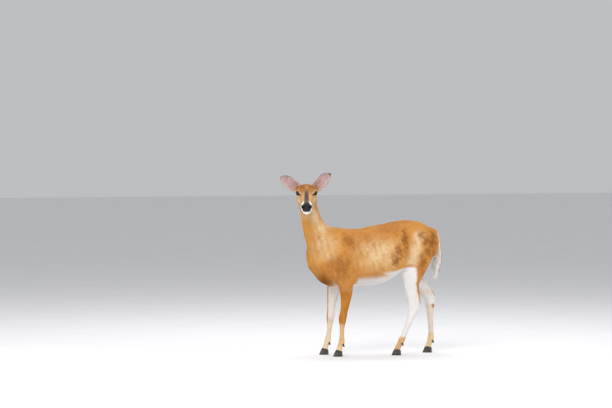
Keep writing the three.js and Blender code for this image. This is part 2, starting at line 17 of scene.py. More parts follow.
import bpy
import numpy as np
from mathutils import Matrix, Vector


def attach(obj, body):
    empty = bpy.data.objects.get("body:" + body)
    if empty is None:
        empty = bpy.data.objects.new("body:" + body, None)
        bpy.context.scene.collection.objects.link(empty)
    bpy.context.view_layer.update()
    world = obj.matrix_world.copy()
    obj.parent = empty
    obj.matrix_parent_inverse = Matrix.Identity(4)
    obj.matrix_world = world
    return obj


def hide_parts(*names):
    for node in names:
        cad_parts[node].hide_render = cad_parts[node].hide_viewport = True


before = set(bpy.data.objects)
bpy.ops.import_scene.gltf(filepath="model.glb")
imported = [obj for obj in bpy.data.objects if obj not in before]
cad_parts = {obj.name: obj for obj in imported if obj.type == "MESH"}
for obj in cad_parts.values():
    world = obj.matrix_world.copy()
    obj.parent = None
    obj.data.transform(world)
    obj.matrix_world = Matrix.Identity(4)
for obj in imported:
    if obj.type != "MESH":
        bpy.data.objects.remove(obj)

log = logging.getLogger("doe")
Array = np.ndarray
Triple = tuple[float, float, float]
Rows = Sequence[Sequence[float]]
Piece = bpy.types.Object
Socket = bpy.types.NodeSocket
Material = bpy.types.Material

ORIGIN = np.array([-93.0, -26.0, 0.0])  # where the frame's origin lies in the drawing coordinates
LEG_TRACK = 80.0  # from the middle of the body to the middle of a leg
FAR = 400.0  # stands for "nowhere near" in a distance
TINY = 1e-6  # keeps a division from being by nothing
HALF_DIAGONAL = 0.866  # of a cube whose side is 1
BLACK = 5  # the column of the black among the six colours
# The ways in which the four waves of a ripple run.
WAVES = ((1.0, 0.37, 0.52), (-0.43, 0.91, 0.61), (0.55, -0.66, 0.83), (0.31, 0.74, -1.13))


# ---- Numbers and small helpers ----


def to_frame(points: Array) -> Array:
    """Drawing millimetres as the frame's metres."""
    return (points - ORIGIN) * 0.001


def ramp(low: float, high: float, x: Array) -> Array:
    """0 below low and 1 above high, with a smooth rise, or the reverse where low is the larger."""
    t = np.clip((x - low) / (high - low), 0.0, 1.0)
    return t * t * (3.0 - 2.0 * t)


def bump_at(x: Array, centre: float, half_width: float) -> Array:
    """A smooth hill of height 1 about a centre."""
    return 1.0 - ramp(0.0, half_width, np.abs(x - centre))


def norms(rows: Array) -> Array:
    """The length of each row."""
    return np.linalg.norm(rows, axis=1)


def columns(*values: Array) -> Array:
    """Values side by side, a column each."""
    return np.stack(values, axis=1)


def ridge_at(x: Array, centre: float, width: float) -> Array:
    """A hill of height 1 about a centre that fades away over a width."""
    return np.exp(-(((x - centre) / width) ** 2))


def blend(a: Array, b: Array, k: float) -> Array:
    """The smaller of two distances, run together over the width k."""
    h = np.maximum(k - np.abs(a - b), 0.0) / k
    return np.minimum(a, b) - h * h * k / 4.0


def carve(a: Array, b: Array, k: float) -> Array:
    """Shape a with shape b cut out of it, its edge rounded over k."""
    return -blend(-a, b, k)


def unit(v: Array) -> Array:
    """Vectors of length 1 along the last axis."""
    return v / np.maximum(np.linalg.norm(v, axis=-1, keepdims=True), 1e-9)


def smooth_rows(
    rows: Rows, steps: int, knots: Optional[Sequence[float]] = None
) -> Array:
    """A smooth curve through rows of numbers.

    Args:
        rows: the rows that the curve passes through.
        steps: how many points are made between each pair.
        knots: where the rows lie along the curve, or None to use their first column.

    Returns:
        The points of the curve, a row each.
    """
    r = np.array(rows, float)
    at = np.array(knots, float) if knots is not None else r[:, 0]
    n = len(r)
    before = np.maximum(np.arange(n) - 1, 0)
    after = np.minimum(np.arange(n) + 1, n - 1)
    slope = (r[after] - r[before]) / (at[after] - at[before])[:, None]
    t = (np.arange(steps) / steps)[None, :, None]
    h1 = t * t * (3 - 2 * t)
    g0, g1 = t * (1 - t) ** 2, -t * t * (1 - t)
    span = (at[1:] - at[:-1])[:, None, None]
    bent = span * (g0 * slope[:-1, None] + g1 * slope[1:, None])
    body = (1 - h1) * r[:-1, None] + h1 * r[1:, None] + bent
    return np.vstack([body.reshape(-1, r.shape[1]), r[-1:]])


def box_places(counts: Sequence[int]) -> Array:
    """Every whole-numbered place in a box from 0, a row each."""
    return np.stack(np.meshgrid(*[np.arange(n) for n in counts], indexing="ij"), -1).reshape(-1, 3)


def gathered(numbers: Array, values: Array, count: int) -> Array:
    """The sum of the rows of values that carry each number below count."""
    return np.stack([np.bincount(numbers, values[:, k], minlength=count) for k in range(3)], axis=1)


def ripple(points: Array, length: float, seed: float = 0.0) -> Array:
    """A smooth unevenness between about -1 and 1 whose waves are about so long in millimetres."""
    p = points * (2 * math.pi / length)
    total = np.zeros(len(points))
    for i, (a, b, c) in enumerate(WAVES):
        total += np.sin(p[:, 0] * a + p[:, 1] * b + p[:, 2] * c + seed * 1.7 + i * 2.1)
    return total / 3.0


def turn_matrix(turn: Sequence[float]) -> Array:
    """A rotation by degrees about X, then Y, then Z."""
    x, y, z = np.radians(turn)
    rx = np.array([[1, 0, 0], [0, math.cos(x), -math.sin(x)], [0, math.sin(x), math.cos(x)]])
    ry = np.array([[math.cos(y), 0, math.sin(y)], [0, 1, 0], [-math.sin(y), 0, math.cos(y)]])
    rz = np.array([[math.cos(z), -math.sin(z), 0], [math.sin(z), math.cos(z), 0], [0, 0, 1]])
    return rz @ ry @ rx


@dataclass(frozen=True)
class Place:
    """A local frame: a point and a rotation."""

    point: Triple = (0.0, 0.0, 0.0)
    turn: Triple = (0.0, 0.0, 0.0)
    within: Optional["Place"] = None

    def matrix(self) -> tuple[Array, Array]:
        """The rotation and the point in drawing coordinates."""
        r, p = turn_matrix(self.turn), np.array(self.point, float)
        if self.within is None:
            return r, p
        outer_r, outer_p = self.within.matrix()
        return outer_r @ r, outer_r @ p + outer_p

    def local(self, points: Array) -> Array:
        """Drawing points in this frame's own coordinates."""
        r, p = self.matrix()
        return (points - p) @ r

    def world(self, points: Array) -> Array:
        """This frame's own points in drawing coordinates."""
        r, p = self.matrix()
        return np.asarray(points, float) @ r.T + p

    def direction(self, way: Sequence[float]) -> Array:
        """A direction of this frame in drawing coordinates."""
        return np.asarray(way, float) @ self.matrix()[0].T


# ---- Shapes, each with a distance that is negative inside ----


@dataclass
class Barrel:
    """A body along one axis of its own frame, with a top line, a bottom line and a half width."""

    place: Place
    rows: Rows
    roundness: float
    end_round: float = 12.0  # how far its flat ends are rounded
    end_reach: float = 60.0  # how far from them that is felt
    fine: Array = field(init=False)

    def __post_init__(self) -> None:
        """Makes the smooth stations."""
        self.fine = smooth_rows(self.rows, 8)

    def lines(self, x: Array) -> tuple[Array, Array, Array, Array]:
        """Top, bottom, widest height and half width at stations x."""
        f = self.fine
        top, bottom, waist, half = (np.interp(x, f[:, 0], f[:, c]) for c in (1, 2, 3, 4))
        return top, bottom, waist, half

    def distance(self, points: Array) -> Array:
        """How far points are outside."""
        q = self.place.local(points)
        x = np.clip(q[:, 0], self.fine[0, 0], self.fine[-1, 0])
        top, bottom, waist, half = self.lines(x)
        up = q[:, 2] - waist
        reach = np.maximum(np.where(up > 0, top - waist, waist - bottom), 1.0)
        half = np.maximum(half, 1.0)
        n = self.roundness
        share = (np.abs(q[:, 1] / half) ** n + np.abs(up / reach) ** n) ** (1 / n)
        drawn = np.hypot(q[:, 1], up) * (1 - 1 / np.maximum(share, TINY))
        radial = np.where(share < TINY, -np.minimum(half, reach), drawn)
        past = np.maximum(self.fine[0, 0] - q[:, 0], q[:, 0] - self.fine[-1, 0])
        inside = -blend(-radial, -past, self.end_round)
        beyond = np.hypot(np.maximum(radial, 0), past)
        return np.where(past > 0, beyond, np.where(past > -self.end_reach, inside, radial))


@dataclass
class Limb:
    """A thick line through stations x, y, z, radius, sideways share of the radius."""

    rows: Rows
    steps: int = 5
    fine: Array = field(init=False)

    def __post_init__(self) -> None:
        """Makes the smooth stations."""
        r = np.array(self.rows, float)
        run = np.concatenate([[0], np.cumsum(norms(np.diff(r[:, :3], axis=0)))])
        self.fine = smooth_rows(self.rows, self.steps, run)

    def near(self, points: Array, margin: float = 50.0) -> Array:
        """Which points lie in the line's own box, grown by a margin."""
        reach = self.fine[:, 3].max() + margin
        low, high = self.fine[:, :3].min(0) - reach, self.fine[:, :3].max(0) + reach
        return np.all((points > low) & (points < high), axis=1)

    def trace(self, points: Array) -> tuple[Array, Array, Array]:
        """How far each point is outside, its place along the line from 0 to 1, and the line's way there.

        Args:
            points: drawing points.

        Returns:
            The distance, the share of the line's length and the unit direction, for each point.
        """
        best = np.full(len(points), np.inf)
        share = np.zeros(len(points))
        way = np.zeros((len(points), 3))
        count = len(self.fine) - 1
        for i in range(count):
            a, b = self.fine[i], self.fine[i + 1]
            ab = b[:3] - a[:3]
            w = points - a[:3]
            t = np.clip(w @ ab / (ab @ ab), 0, 1)
            w -= t[:, None] * ab
            radius = a[3] + t * (b[3] - a[3])
            flat = a[4] + t * (b[4] - a[4])
            true_length = norms(w)
            drawn = np.sqrt(w[:, 0] ** 2 + (w[:, 1] / flat) ** 2 + w[:, 2] ** 2)
            outside = true_length * (1 - radius / np.maximum(drawn, TINY))
            d = np.where(drawn < TINY, -radius * flat, outside)
            closer = d < best
            best = np.where(closer, d, best)
            share = np.where(closer, (i + t) / count, share)
            way[closer] = ab / np.linalg.norm(ab)
        return best, share, way

    def distance(self, points: Array) -> Array:
        """How far points are outside, or FAR where they aren't near."""
        out = np.full(len(points), FAR)
        close = self.near(points)
        if close.any():
            out[close] = self.trace(points[close])[0]
        return out


@dataclass
class Muscle:
    """An ellipsoid with radii, in a frame."""

    place: Place
    radii: Triple

    def distance(self, points: Array) -> Array:
        """How far points are outside."""
        q = self.place.local(points) / np.array(self.radii)
        near = norms(q)
        far = norms(q / np.array(self.radii))
        return np.where(far < 1e-9, -min(self.radii), near * (near - 1) / np.maximum(far, 1e-9))


# ---- The doe's measures ----


class Side(Enum):
    """A side of the doe, with the sign of its Y in the body's and the head's own frames."""

    LEFT = -1
    RIGHT = 1


class Leg(Enum):
    """The four legs: which end of the body, and which side."""

    FORE_LEFT = ("fore", Side.LEFT)
    FORE_RIGHT = ("fore", Side.RIGHT)
    HIND_LEFT = ("hind", Side.LEFT)
    HIND_RIGHT = ("hind", Side.RIGHT)

    @property
    def end(self) -> str:
        """fore or hind."""
        return self.value[0]

    @property
    def side(self) -> Side:
        """The leg's side."""
        return self.value[1]

    @property
    def y(self) -> float:
        """The middle of the leg across the body."""
        return self.side.value * LEG_TRACK


# Trunk: distance along the body, back line, belly line, height of the widest point, half width.
TRUNK = (
    (-438, 650, 585, 618, 14),  # point of the breast
    (-424, 705, 545, 620, 50),
    (-395, 752, 508, 622, 78),
    (-345, 792, 455, 618, 96),
    (-262, 800, 427, 600, 108),  # withers
    (-180, 791, 430, 590, 122),
    (-100, 791, 436, 590, 138),  # dip behind the withers
    (-20, 807, 436, 600, 149),
    (60, 820, 456, 620, 152),  # deepest of the barrel
    (125, 834, 492, 645, 145),
    (195, 841, 530, 670, 134),  # croup
    (265, 834, 552, 690, 128),
    (320, 811, 570, 690, 118),
    (372, 772, 596, 690, 92),
    (395, 734, 622, 682, 60),  # buttocks
    (405, 702, 652, 678, 22),
)

# Neck, from inside the breast to the poll: x, y, z, radius, sideways share of the radius.
NECK = (
    (-325, 0, 640, 96, 0.78),
    (-358, 0, 715, 87, 0.78),
    (-388, 0, 785, 75, 0.8),
    (-408, -1, 835, 65, 0.88),
    (-421, -2, 880, 59, 0.96),
    (-432, -4, 930, 55, 0.97),
    (-440, -3, 988, 47, 1),
)

# Legs: x and z at each level from the body down, then the radius fore and aft and its sideways share.
LEG_LINES = {
    Leg.FORE_LEFT: (
        (-214, 455), (-209, 395), (-215, 330), (-224, 278), (-231, 242), (-234, 214),
        (-236, 178), (-237, 118), (-239, 88), (-248, 60), (-258, 33),
    ),
    Leg.FORE_RIGHT: (
        (-236, 455), (-248, 395), (-258, 330), (-263, 278), (-266, 242), (-268, 214),
        (-271, 178), (-279, 118), (-284, 88), (-294, 60), (-304, 33),
    ),
    Leg.HIND_LEFT: (
        (272, 690), (248, 610), (228, 535), (215, 455), (216, 375), (226, 312),
        (217, 258), (193, 190), (164, 122), (151, 94), (134, 62), (121, 34),
    ),
    Leg.HIND_RIGHT: (
        (276, 690), (262, 610), (252, 540), (276, 474), (325, 408), (373, 345),
        (384, 285), (389, 205), (392, 122), (391, 92), (383, 62), (372, 34),
    ),
}
LEG_GIRTHS = {
    "fore": (
        (50, 0.72), (39, 0.76), (28.5, 0.86), (23.5, 0.92), (24.5, 0.96), (21.5, 0.9),
        (15.5, 0.86), (15, 0.88), (19.5, 0.92), (16, 1.0), (18, 1.12),
    ),
    "hind": (
        (92, 0.52), (94, 0.5), (76, 0.56), (51, 0.6), (35, 0.66), (30, 0.76),
        (25, 0.76), (18.5, 0.8), (17, 0.84), (20.5, 0.88), (17, 0.96), (18.5, 1.08),
    ),
}
TENDONS = {  # from the back of the thigh over the point of the hock to the back of the cannon
    Leg.HIND_LEFT: ((248, 420), (262, 322), (230, 262)),
    Leg.HIND_RIGHT: ((338, 452), (404, 364), (394, 296)),
}
TENDON_GIRTHS = ((14, 0.8), (11, 0.9), (12, 0.9))

# The head's frame: distance behind the tip of the nose, towards the right, and up.
HEAD_PLACE = Place((-497, -204, 932), (0, -18.5, 75))
# Head: distance behind the tip of the nose, top line, bottom line, widest height, half width.
HEAD = (
    (0, 11, -9, 1, 12),
    (4, 23, -22, 0, 26),
    (13, 30, -37, -4, 32),
    (28, 33, -47, -7, 34),
    (52, 35, -47, -6, 35),
    (78, 39, -47, -3, 37),
    (104, 47, -52, 3, 43),
    (128, 58, -60, 14, 52),
    (152, 69, -67, 22, 61),
    (178, 76, -72, 24, 62),
    (205, 78, -71, 22, 60),
    (232, 71, -56, 16, 52),
    (252, 60, -34, 13, 44),
    (266, 44, -12, 16, 30),
    (274, 26, 2, 14, 9),
)

# Tail: x, z, radius fore and aft, sideways share of the radius.
TAIL = (
    (362, 774, 22, 0.9),
    (389, 761, 17, 1.3),
    (405, 725, 14, 1.9),
    (412, 670, 15, 2.1),
    (412, 605, 17.5, 1.9),
    (405, 548, 16.5, 1.8),
    (399, 512, 11, 1.6),
    (396, 494, 4, 1.4),
)

# Over what width each part runs into the rest.
BLENDS = {"neck": 46.0, "head": 30.0, "fore": 30.0, "hind": 34.0, "tendon": 18.0, "tail": 14.0, "ear": 9.0}
TAIL_TOP = 785.0  # the height of the tail's root
TAIL_HANG = 285.0  # how far the tail hangs below it
TAIL_COAT = 1.5  # how much deeper the skin lies on the tail than elsewhere
EAR_COAT = 0.5  # how deep it lies on the ears
SKIN_END = 25.0  # the height where the skin of a foot ends, inside the claws

# Muscles of one side: centre, radii, turn in degrees, blending width.
BODY_MUSCLES = (
    ((-280, 72, 652), (56, 34, 106), (12, -16, 0), 30),  # shoulder blade
    ((-222, 82, 540), (66, 36, 66), (0, 20, 0), 26),  # triceps
    ((-352, 62, 580), (50, 40, 58), (0, 10, 0), 30),  # point of the shoulder
    ((-176, 80, 470), (20, 17, 24), (0, 0, 0), 18),  # elbow
    ((240, 66, 738), (120, 62, 84), (0, 8, 0), 40),  # rump
    ((178, 92, 778), (34, 22, 24), (0, 0, 0), 26),  # point of the hip
    ((364, 46, 702), (36, 33, 58), (0, 8, 0), 30),  # pin bone and buttock
    ((90, 118, 640), (120, 34, 110), (0, 0, 0), 40),  # barrel of the ribs
)
HEAD_MUSCLES = (
    ((152, 42, 55), (27, 15, 11), (0, 0, 0), 20),  # brow
    ((178, 39, -22), (38, 19, 40), (0, 0, 0), 18),  # cheek
    ((136, 44, 14), (34, 12, 13), (0, -6, 0), 14),  # cheekbone
    ((10, 21, 6), (12, 12, 16), (0, 0, 0), 8),  # wing of the nostril
    ((24, 18, -20), (24, 12, 13), (0, 0, 0), 10),  # upper lip
    ((32, 0, -42), (20, 19, 10), (0, 0, 0), 10),  # chin
    ((204, 49, 42), (28, 24, 27), (0, 0, 0), 22),  # root of the ear
)


@dataclass(frozen=True)
class EyeSize:
    """Where an eye sits in the head, and the opening of its lids."""

    back: float = 146.0
    out: float = 46.5
    up: float = 42.0
    radius: float = 17.5
    lid: float = 2.2  # how far the lids stand out over the ball
    half_length: float = 16.0  # of the opening between the lids
    upper: float = 9.8
    lower: float = 8.6

    def centre(self, side: Side) -> Array:
        """The ball's centre in the head's frame."""
        return np.array([self.back, side.value * self.out, self.up])

    def axes(self, side: Side) -> Array:
        """Rows: along the opening towards the back, up, and outwards, in the head's frame."""
        out = unit(np.array([-0.62, side.value * 0.78, 0.1]))
        along = unit(np.array([0.78, side.value * 0.62, 0.2]))
        along = unit(along - out * (along @ out))
        up = np.cross(out, along) * side.value
        return np.stack([along, up if up[2] > 0 else -up, out])


@dataclass(frozen=True)
class EarSize:
    """An ear's cup: where it is rooted in the head, its size and how it is set."""

    root: Triple = (204.0, 55.0, 47.0)
    length: float = 142.0
    width: float = 75.0
    thickness: float = 4.0
    sunk: float = 14.0  # how far the cup goes on below its root
    spread: float = 50.0  # degrees from upright, outwards
    back: float = 20.0  # degrees from upright, backwards
    facing: float = 10.0  # degrees that the opening is turned outwards


EYE = EyeSize()
EARS = {
    Side.LEFT: EarSize(length=136.0, spread=49.0, back=22.0, facing=12.0),
    Side.RIGHT: EarSize(length=132.0, spread=57.0, back=10.0, facing=4.0),
}


@dataclass
class Ear:
    """A cupped leaf with a thickness, from its root to its tip."""

    side: Side
    size: EarSize

    def axes(self) -> Array:
        """Rows: from the root to the tip, the way the cup opens, and across it, in the head's frame."""
        spread, back, facing = np.radians([self.size.spread, self.size.back, self.size.facing])
        s = self.side.value
        sideways = s * math.sin(spread) * math.cos(back)
        axis = unit(np.array([math.sin(back), sideways, math.cos(spread) * math.cos(back)]))
        opening = np.array([-1.0, s * math.sin(facing), 0.0])
        opening = unit(opening - axis * (opening @ axis))
        return np.stack([axis, opening, np.cross(axis, opening)])

    def section(self, s: Array) -> tuple[Array, Array, Array]:
        """The cup's half angle, radius and the depth of its middle line at shares s of its length."""
        rise = np.clip(0.14 + 0.86 * np.clip(s, 0, 1) ** 1.2, 0, 1)
        half = self.size.width / 2 * np.maximum(np.sin(math.pi * rise) ** 0.62, 0.05)
        bend = 2.2 + (0.75 - 2.2) * np.clip(s * 1.5, 0, 1)
        radius = half / np.sin(np.minimum(bend, math.pi / 2))
        return bend, radius, -radius * np.cos(bend) * 0.55

    def share(self, own: Array) -> Array:
        """How far along the cup its own points lie, from its sunken end to its tip."""
        return np.clip((own[:, 0] + self.size.sunk) / (self.size.length + self.size.sunk), 0, 1)

    def local(self, points: Array) -> Array:
        """Drawing points as along, opening and across in the ear's own frame."""
        q = HEAD_PLACE.local(points) - self.root()
        return q @ self.axes().T

    def root(self) -> Array:
        """The root in the head's frame."""
        back, out, up = self.size.root
        return np.array([back, self.side.value * out, up])

    def world(self, own: Array) -> Array:
        """The ear's own coordinates as drawing points."""
        return HEAD_PLACE.world(own @ self.axes() + self.root())

    def distance(self, points: Array) -> Array:
        """How far drawing points are outside the cup's wall, or FAR where they aren't near."""
        out = np.full(len(points), FAR)
        middle = self.world(np.array([[self.size.length / 2, 0, 0]]))[0]
        close = norms(points - middle) < self.size.length
        if not close.any():
            return out
        q = self.local(points[close])
        s = self.share(q)
        bend, radius, shift = self.section(s)
        wall = self.size.thickness * (1.2 - 0.45 * s)
        middle_radius = radius - wall / 2
        deep = -q[:, 1] - shift
        reach, turn = np.hypot(deep, q[:, 2]), np.arctan2(q[:, 2], deep)
        over = np.abs(turn) - bend
        end_gap = np.hypot(
            deep - middle_radius * np.cos(bend), np.abs(q[:, 2]) - middle_radius * np.sin(bend)
        )
        flat = np.where(over <= 0, np.abs(reach - middle_radius), end_gap)
        past = np.maximum(q[:, 0] - self.size.length, 0) + np.maximum(-self.size.sunk - q[:, 0], 0)
        out[close] = np.hypot(flat, past) - wall / 2
        return out


@dataclass
class Anatomy:
    """The doe's flesh as one shape: barrels, limbs and muscles run together, with their frames."""

    trunk: Barrel = field(default_factory=lambda: Barrel(Place(), TRUNK, 2.15))
    neck: Limb = field(default_factory=lambda: Limb(NECK, 6))
    skull: Barrel = field(default_factory=lambda: Barrel(HEAD_PLACE, HEAD, 2.2))
    tail: Limb = field(default_factory=lambda: Limb([(x, 0, z, r, share) for x, z, r, share in TAIL], 4))
    legs: dict[Leg, Limb] = field(init=False)
    tendons: list[Limb] = field(init=False)
    ears: list[Ear] = field(init=False)
    body_muscles: list[tuple[Muscle, float]] = field(init=False)
    head_muscles: list[tuple[Muscle, float]] = field(init=False)

    def __post_init__(self) -> None:
        """Makes the parts that come in sets."""
        self.legs, self.tendons = {}, []
        for leg, line in LEG_LINES.items():
            rows = [(x, leg.y, z, r, share) for (x, z), (r, share) in zip(line, LEG_GIRTHS[leg.end])]
            self.legs[leg] = Limb(rows, 5)
        for leg, line in TENDONS.items():
            rows = [(x, leg.y, z, r, share) for (x, z), (r, share) in zip(line, TENDON_GIRTHS)]
            self.tendons.append(Limb(rows, 3))
        self.ears = [Ear(side, size) for side, size in EARS.items()]
        self.body_muscles = self.paired(BODY_MUSCLES, None)
        self.head_muscles = self.paired(HEAD_MUSCLES, HEAD_PLACE)

    @staticmethod
    def paired(rows: Sequence, within: Optional[Place]) -> list[tuple[Muscle, float]]:
        """Muscles of both sides, the right one a mirror of the left, with their blending widths."""
        made = []
        for side in Side:
            for (x, out, z), radii, (a, b, c), k in rows:
                turn = (a * side.value, b, c * side.value)
                made.append((Muscle(Place((x, side.value * out, z), turn, within), radii), k))
        return made

    @staticmethod
    def add_muscles(d: Array, points: Array, muscles: Sequence[tuple[Muscle, float]]) -> Array:
        """A distance with muscles run into it where they are near."""
        for muscle, k in muscles:
            _, centre = muscle.place.matrix()
            close = norms(points - centre) < max(muscle.radii) + 60
            if close.any():
                d[close] = blend(d[close], muscle.distance(points[close]), k)
        return d

    def body(self, points: Array) -> Array:
        """How far points are outside the flesh without the ears and the tail."""
        d = self.trunk.distance(points)
        d = blend(d, self.neck.distance(points), BLENDS["neck"])
        d = blend(d, self.skull.distance(points), BLENDS["head"])
        for leg, limb in self.legs.items():
            d = blend(d, limb.distance(points), BLENDS[leg.end])
        d = self.add_muscles(d, points, self.body_muscles)
        d = self.add_muscles(d, points, self.head_muscles)
        for tendon in self.tendons:
            d = blend(d, tendon.distance(points), BLENDS["tendon"])
        return d

    def coat_depth(self, points: Array) -> Array:
        """How thick the coat is over the skin, in millimetres."""
        z = points[:, 2]
        leg = 1.2 + 0.5 * ramp(270, 350, z) + 0.6 * ramp(380, 440, z)
        head = HEAD_PLACE.local(points)
        back, up = head[:, 0], head[:, 2]
        face = 0.25 + 0.9 * ramp(10, 40, back) + 0.7 * ramp(70, 140, back)
        face = face + 0.4 * ramp(150, 215, back)
        under = ramp(-45, -80, up) * ramp(120, 160, back)
        face = face + (2.3 - face) * under
        return np.where((z > 870) & (points[:, 0] < -360), face, leg)

    def skin(self, points: Array) -> Array:
        """How far points are outside the skin, which lies under the coat."""
        d = self.body(points)
        d = blend(d, self.tail.distance(points) + TAIL_COAT, BLENDS["tail"]) + self.coat_depth(points)
        d = FACE.shape(d, points, HEAD_PLACE.local(points))
        for ear in self.ears:
            d = blend(d, ear.distance(points) + EAR_COAT, BLENDS["ear"])
        floor_cut = np.where(points[:, 2] < 60, SKIN_END - points[:, 2], -FAR)
        return np.maximum(d, floor_cut)


@dataclass(frozen=True)
class FaceDetail:
    """The folds of the face: lids, tear ducts, nostrils, the groove of the lip and the mouth."""

    groove_depth: float = 1.6
    nostril_depth: float = 8.0
    # A nostril's comma: back, outward, up and radius.
    nostril: tuple[tuple[float, float, float, float], ...] = (
        (1.0, 13.0, -4.0, 2.6),
        (4.0, 20.0, 2.0, 4.6),
        (9.0, 27.0, 6.0, 4.2),
        (16.0, 32.0, 3.0, 1.6),
    )
    mouth_depth: float = 2.6
    mouth_end: float = 100.0
    duct_start: tuple[float, float] = (130.0, 34.0)  # the tear duct, by back and up
    duct_end: tuple[float, float] = (111.0, 18.0)
    duct_depth: float = 3.2

    @staticmethod
    def almond(a: Array) -> Array:
        """How high an eye's opening is at shares of its half length, as a share of its greatest height."""
        return np.clip(1 - np.abs(a) ** 2.2, 0, 1) ** 0.8

    def opening(self, own: Array) -> Array:
        """How far points in an eye's own frame are outside its almond opening, seen from outside."""
        a, u = own[:, 0] / EYE.half_length, own[:, 1]
        profile = self.almond(a)
        edge = np.maximum(u - EYE.upper * profile, -u - EYE.lower * profile)
        return np.maximum(edge, (np.abs(a) - 1) * EYE.half_length)

    def round_eye(self, head: Array, side: Side, reach: float, behind: float) -> tuple[Array, Array, Array]:
        """Points as an eye has them.

        Args:
            head: points in the head's frame.
            side: which eye.
            reach: how far from the ball's centre counts as close.
            behind: how far behind the centre still does.

        Returns:
            The points in the eye's own frame, how far they are outside its opening, and which are close.
        """
        own = (head - EYE.centre(side)) @ EYE.axes(side).T
        close = (norms(own) < reach) & (own[:, 2] > -behind)
        return own, self.opening(own), close

    def mouth_height(self, back: Array) -> Array:
        """The height of the mouth's line in the head's frame."""
        return np.interp(back, [0, 12, 30, 60, 85, 100], [-25, -26.5, -29.5, -33.5, -34.5, -33])

    def shape(self, d: Array, points: Array, head: Array) -> Array:
        """Works the folds into a distance.

        Args:
            d: the distance outside the plain skin.
            points: drawing points.
            head: the same points in the head's frame.

        Returns:
            The distance outside the skin with its folds.
        """
        close = (head[:, 0] > -25) & (head[:, 0] < 200) & (np.abs(head[:, 1]) < 90) & (points[:, 2] > 860)
        if not close.any():
            return d
        d = d.copy()
        part, h = d[close], head[close]
        part = self.mouth(part, h)
        part = self.nostrils(part, h)
        for side in Side:
            part = self.eye(part, h, side)
        d[close] = part
        return d

    def eye(self, d: Array, h: Array, side: Side) -> Array:
        """One eye's lids, its opening, the fold over it and the tear duct in front of it."""
        q = h - EYE.centre(side)
        reach = norms(q)
        near = reach < 50
        if not near.any():
            return d
        own = q[near] @ EYE.axes(side).T
        ball, part = reach[near], d[near]
        edge = self.opening(own)
        part = blend(part, ball - (EYE.radius + EYE.lid), 5)
        fold = ridge_at(edge, 6.0, 1.5) * ramp(-4, 3, own[:, 1]) * (np.abs(own[:, 0]) < 24)
        bags = ridge_at(edge, 5.5, 1.3) * ramp(4, -3, own[:, 1]) * (np.abs(own[:, 0]) < 20)
        part = part + np.where(own[:, 2] > 0, 0.9 * fold + 0.6 * bags, 0)
        pit = np.maximum(np.maximum(edge, (EYE.radius - 3.0) - ball), -own[:, 2])
        part = carve(part, pit, 1.8)
        out = d.copy()
        out[near] = part
        start, line = np.array(self.duct_start), np.array(self.duct_end) - np.array(self.duct_start)
        w = h[:, (0, 2)] - start
        t = np.clip(w @ line / (line @ line), 0, 1)
        gap = norms(w - t[:, None] * line)
        return out + np.where(side.value * h[:, 1] > 15, self.duct_depth * ridge_at(gap, 0, 2.3), 0)

    def nostrils(self, d: Array, h: Array) -> Array:
        """Both nostrils, comma shaped, and the groove between them down to the lip."""
        front = h[:, 0] < 45
        if not front.any():
            return d
        part, q = d[front], h[front]
        inward = unit(np.array([0.8, -0.6, -0.1]))
        p = columns(q[:, 0], np.abs(q[:, 1]), q[:, 2])
        hole = np.full(len(part), FAR)
        for a, b in zip(np.array(self.nostril[:-1]), np.array(self.nostril[1:])):
            w, step, wider = p - a[:3], b[:3] - a[:3], b[3] - a[3]
            along, onward = w @ inward, step @ inward
            flat = w - along[:, None] * inward
            line = step - onward * inward
            t = np.clip(flat @ line / (line @ line), 0, 1)
            gap = norms(flat - t[:, None] * line) - (a[3] + t * wider)
            hole = np.minimum(hole, np.maximum(gap, along - t * onward - self.nostril_depth))
        part = carve(part, hole, 2.4)
        groove = ridge_at(q[:, 1], 0, 1.3) * ramp(16, 8, q[:, 0]) * ramp(6, -6, q[:, 2])
        result = d.copy()
        result[front] = part + self.groove_depth * groove
        return result

    def mouth(self, d: Array, h: Array) -> Array:
        """The line between the lips."""
        gap = h[:, 2] - self.mouth_height(h[:, 0])
        line = ridge_at(gap, 0, 1.5) * ramp(self.mouth_end, self.mouth_end - 14, h[:, 0])
        lip = ridge_at(gap, -5, 4) * ramp(60, 20, h[:, 0])
        return d + self.mouth_depth * line - 0.8 * lip


FACE = FaceDetail()
ANATOMY = Anatomy()


# ---- From a shape to a mesh ----


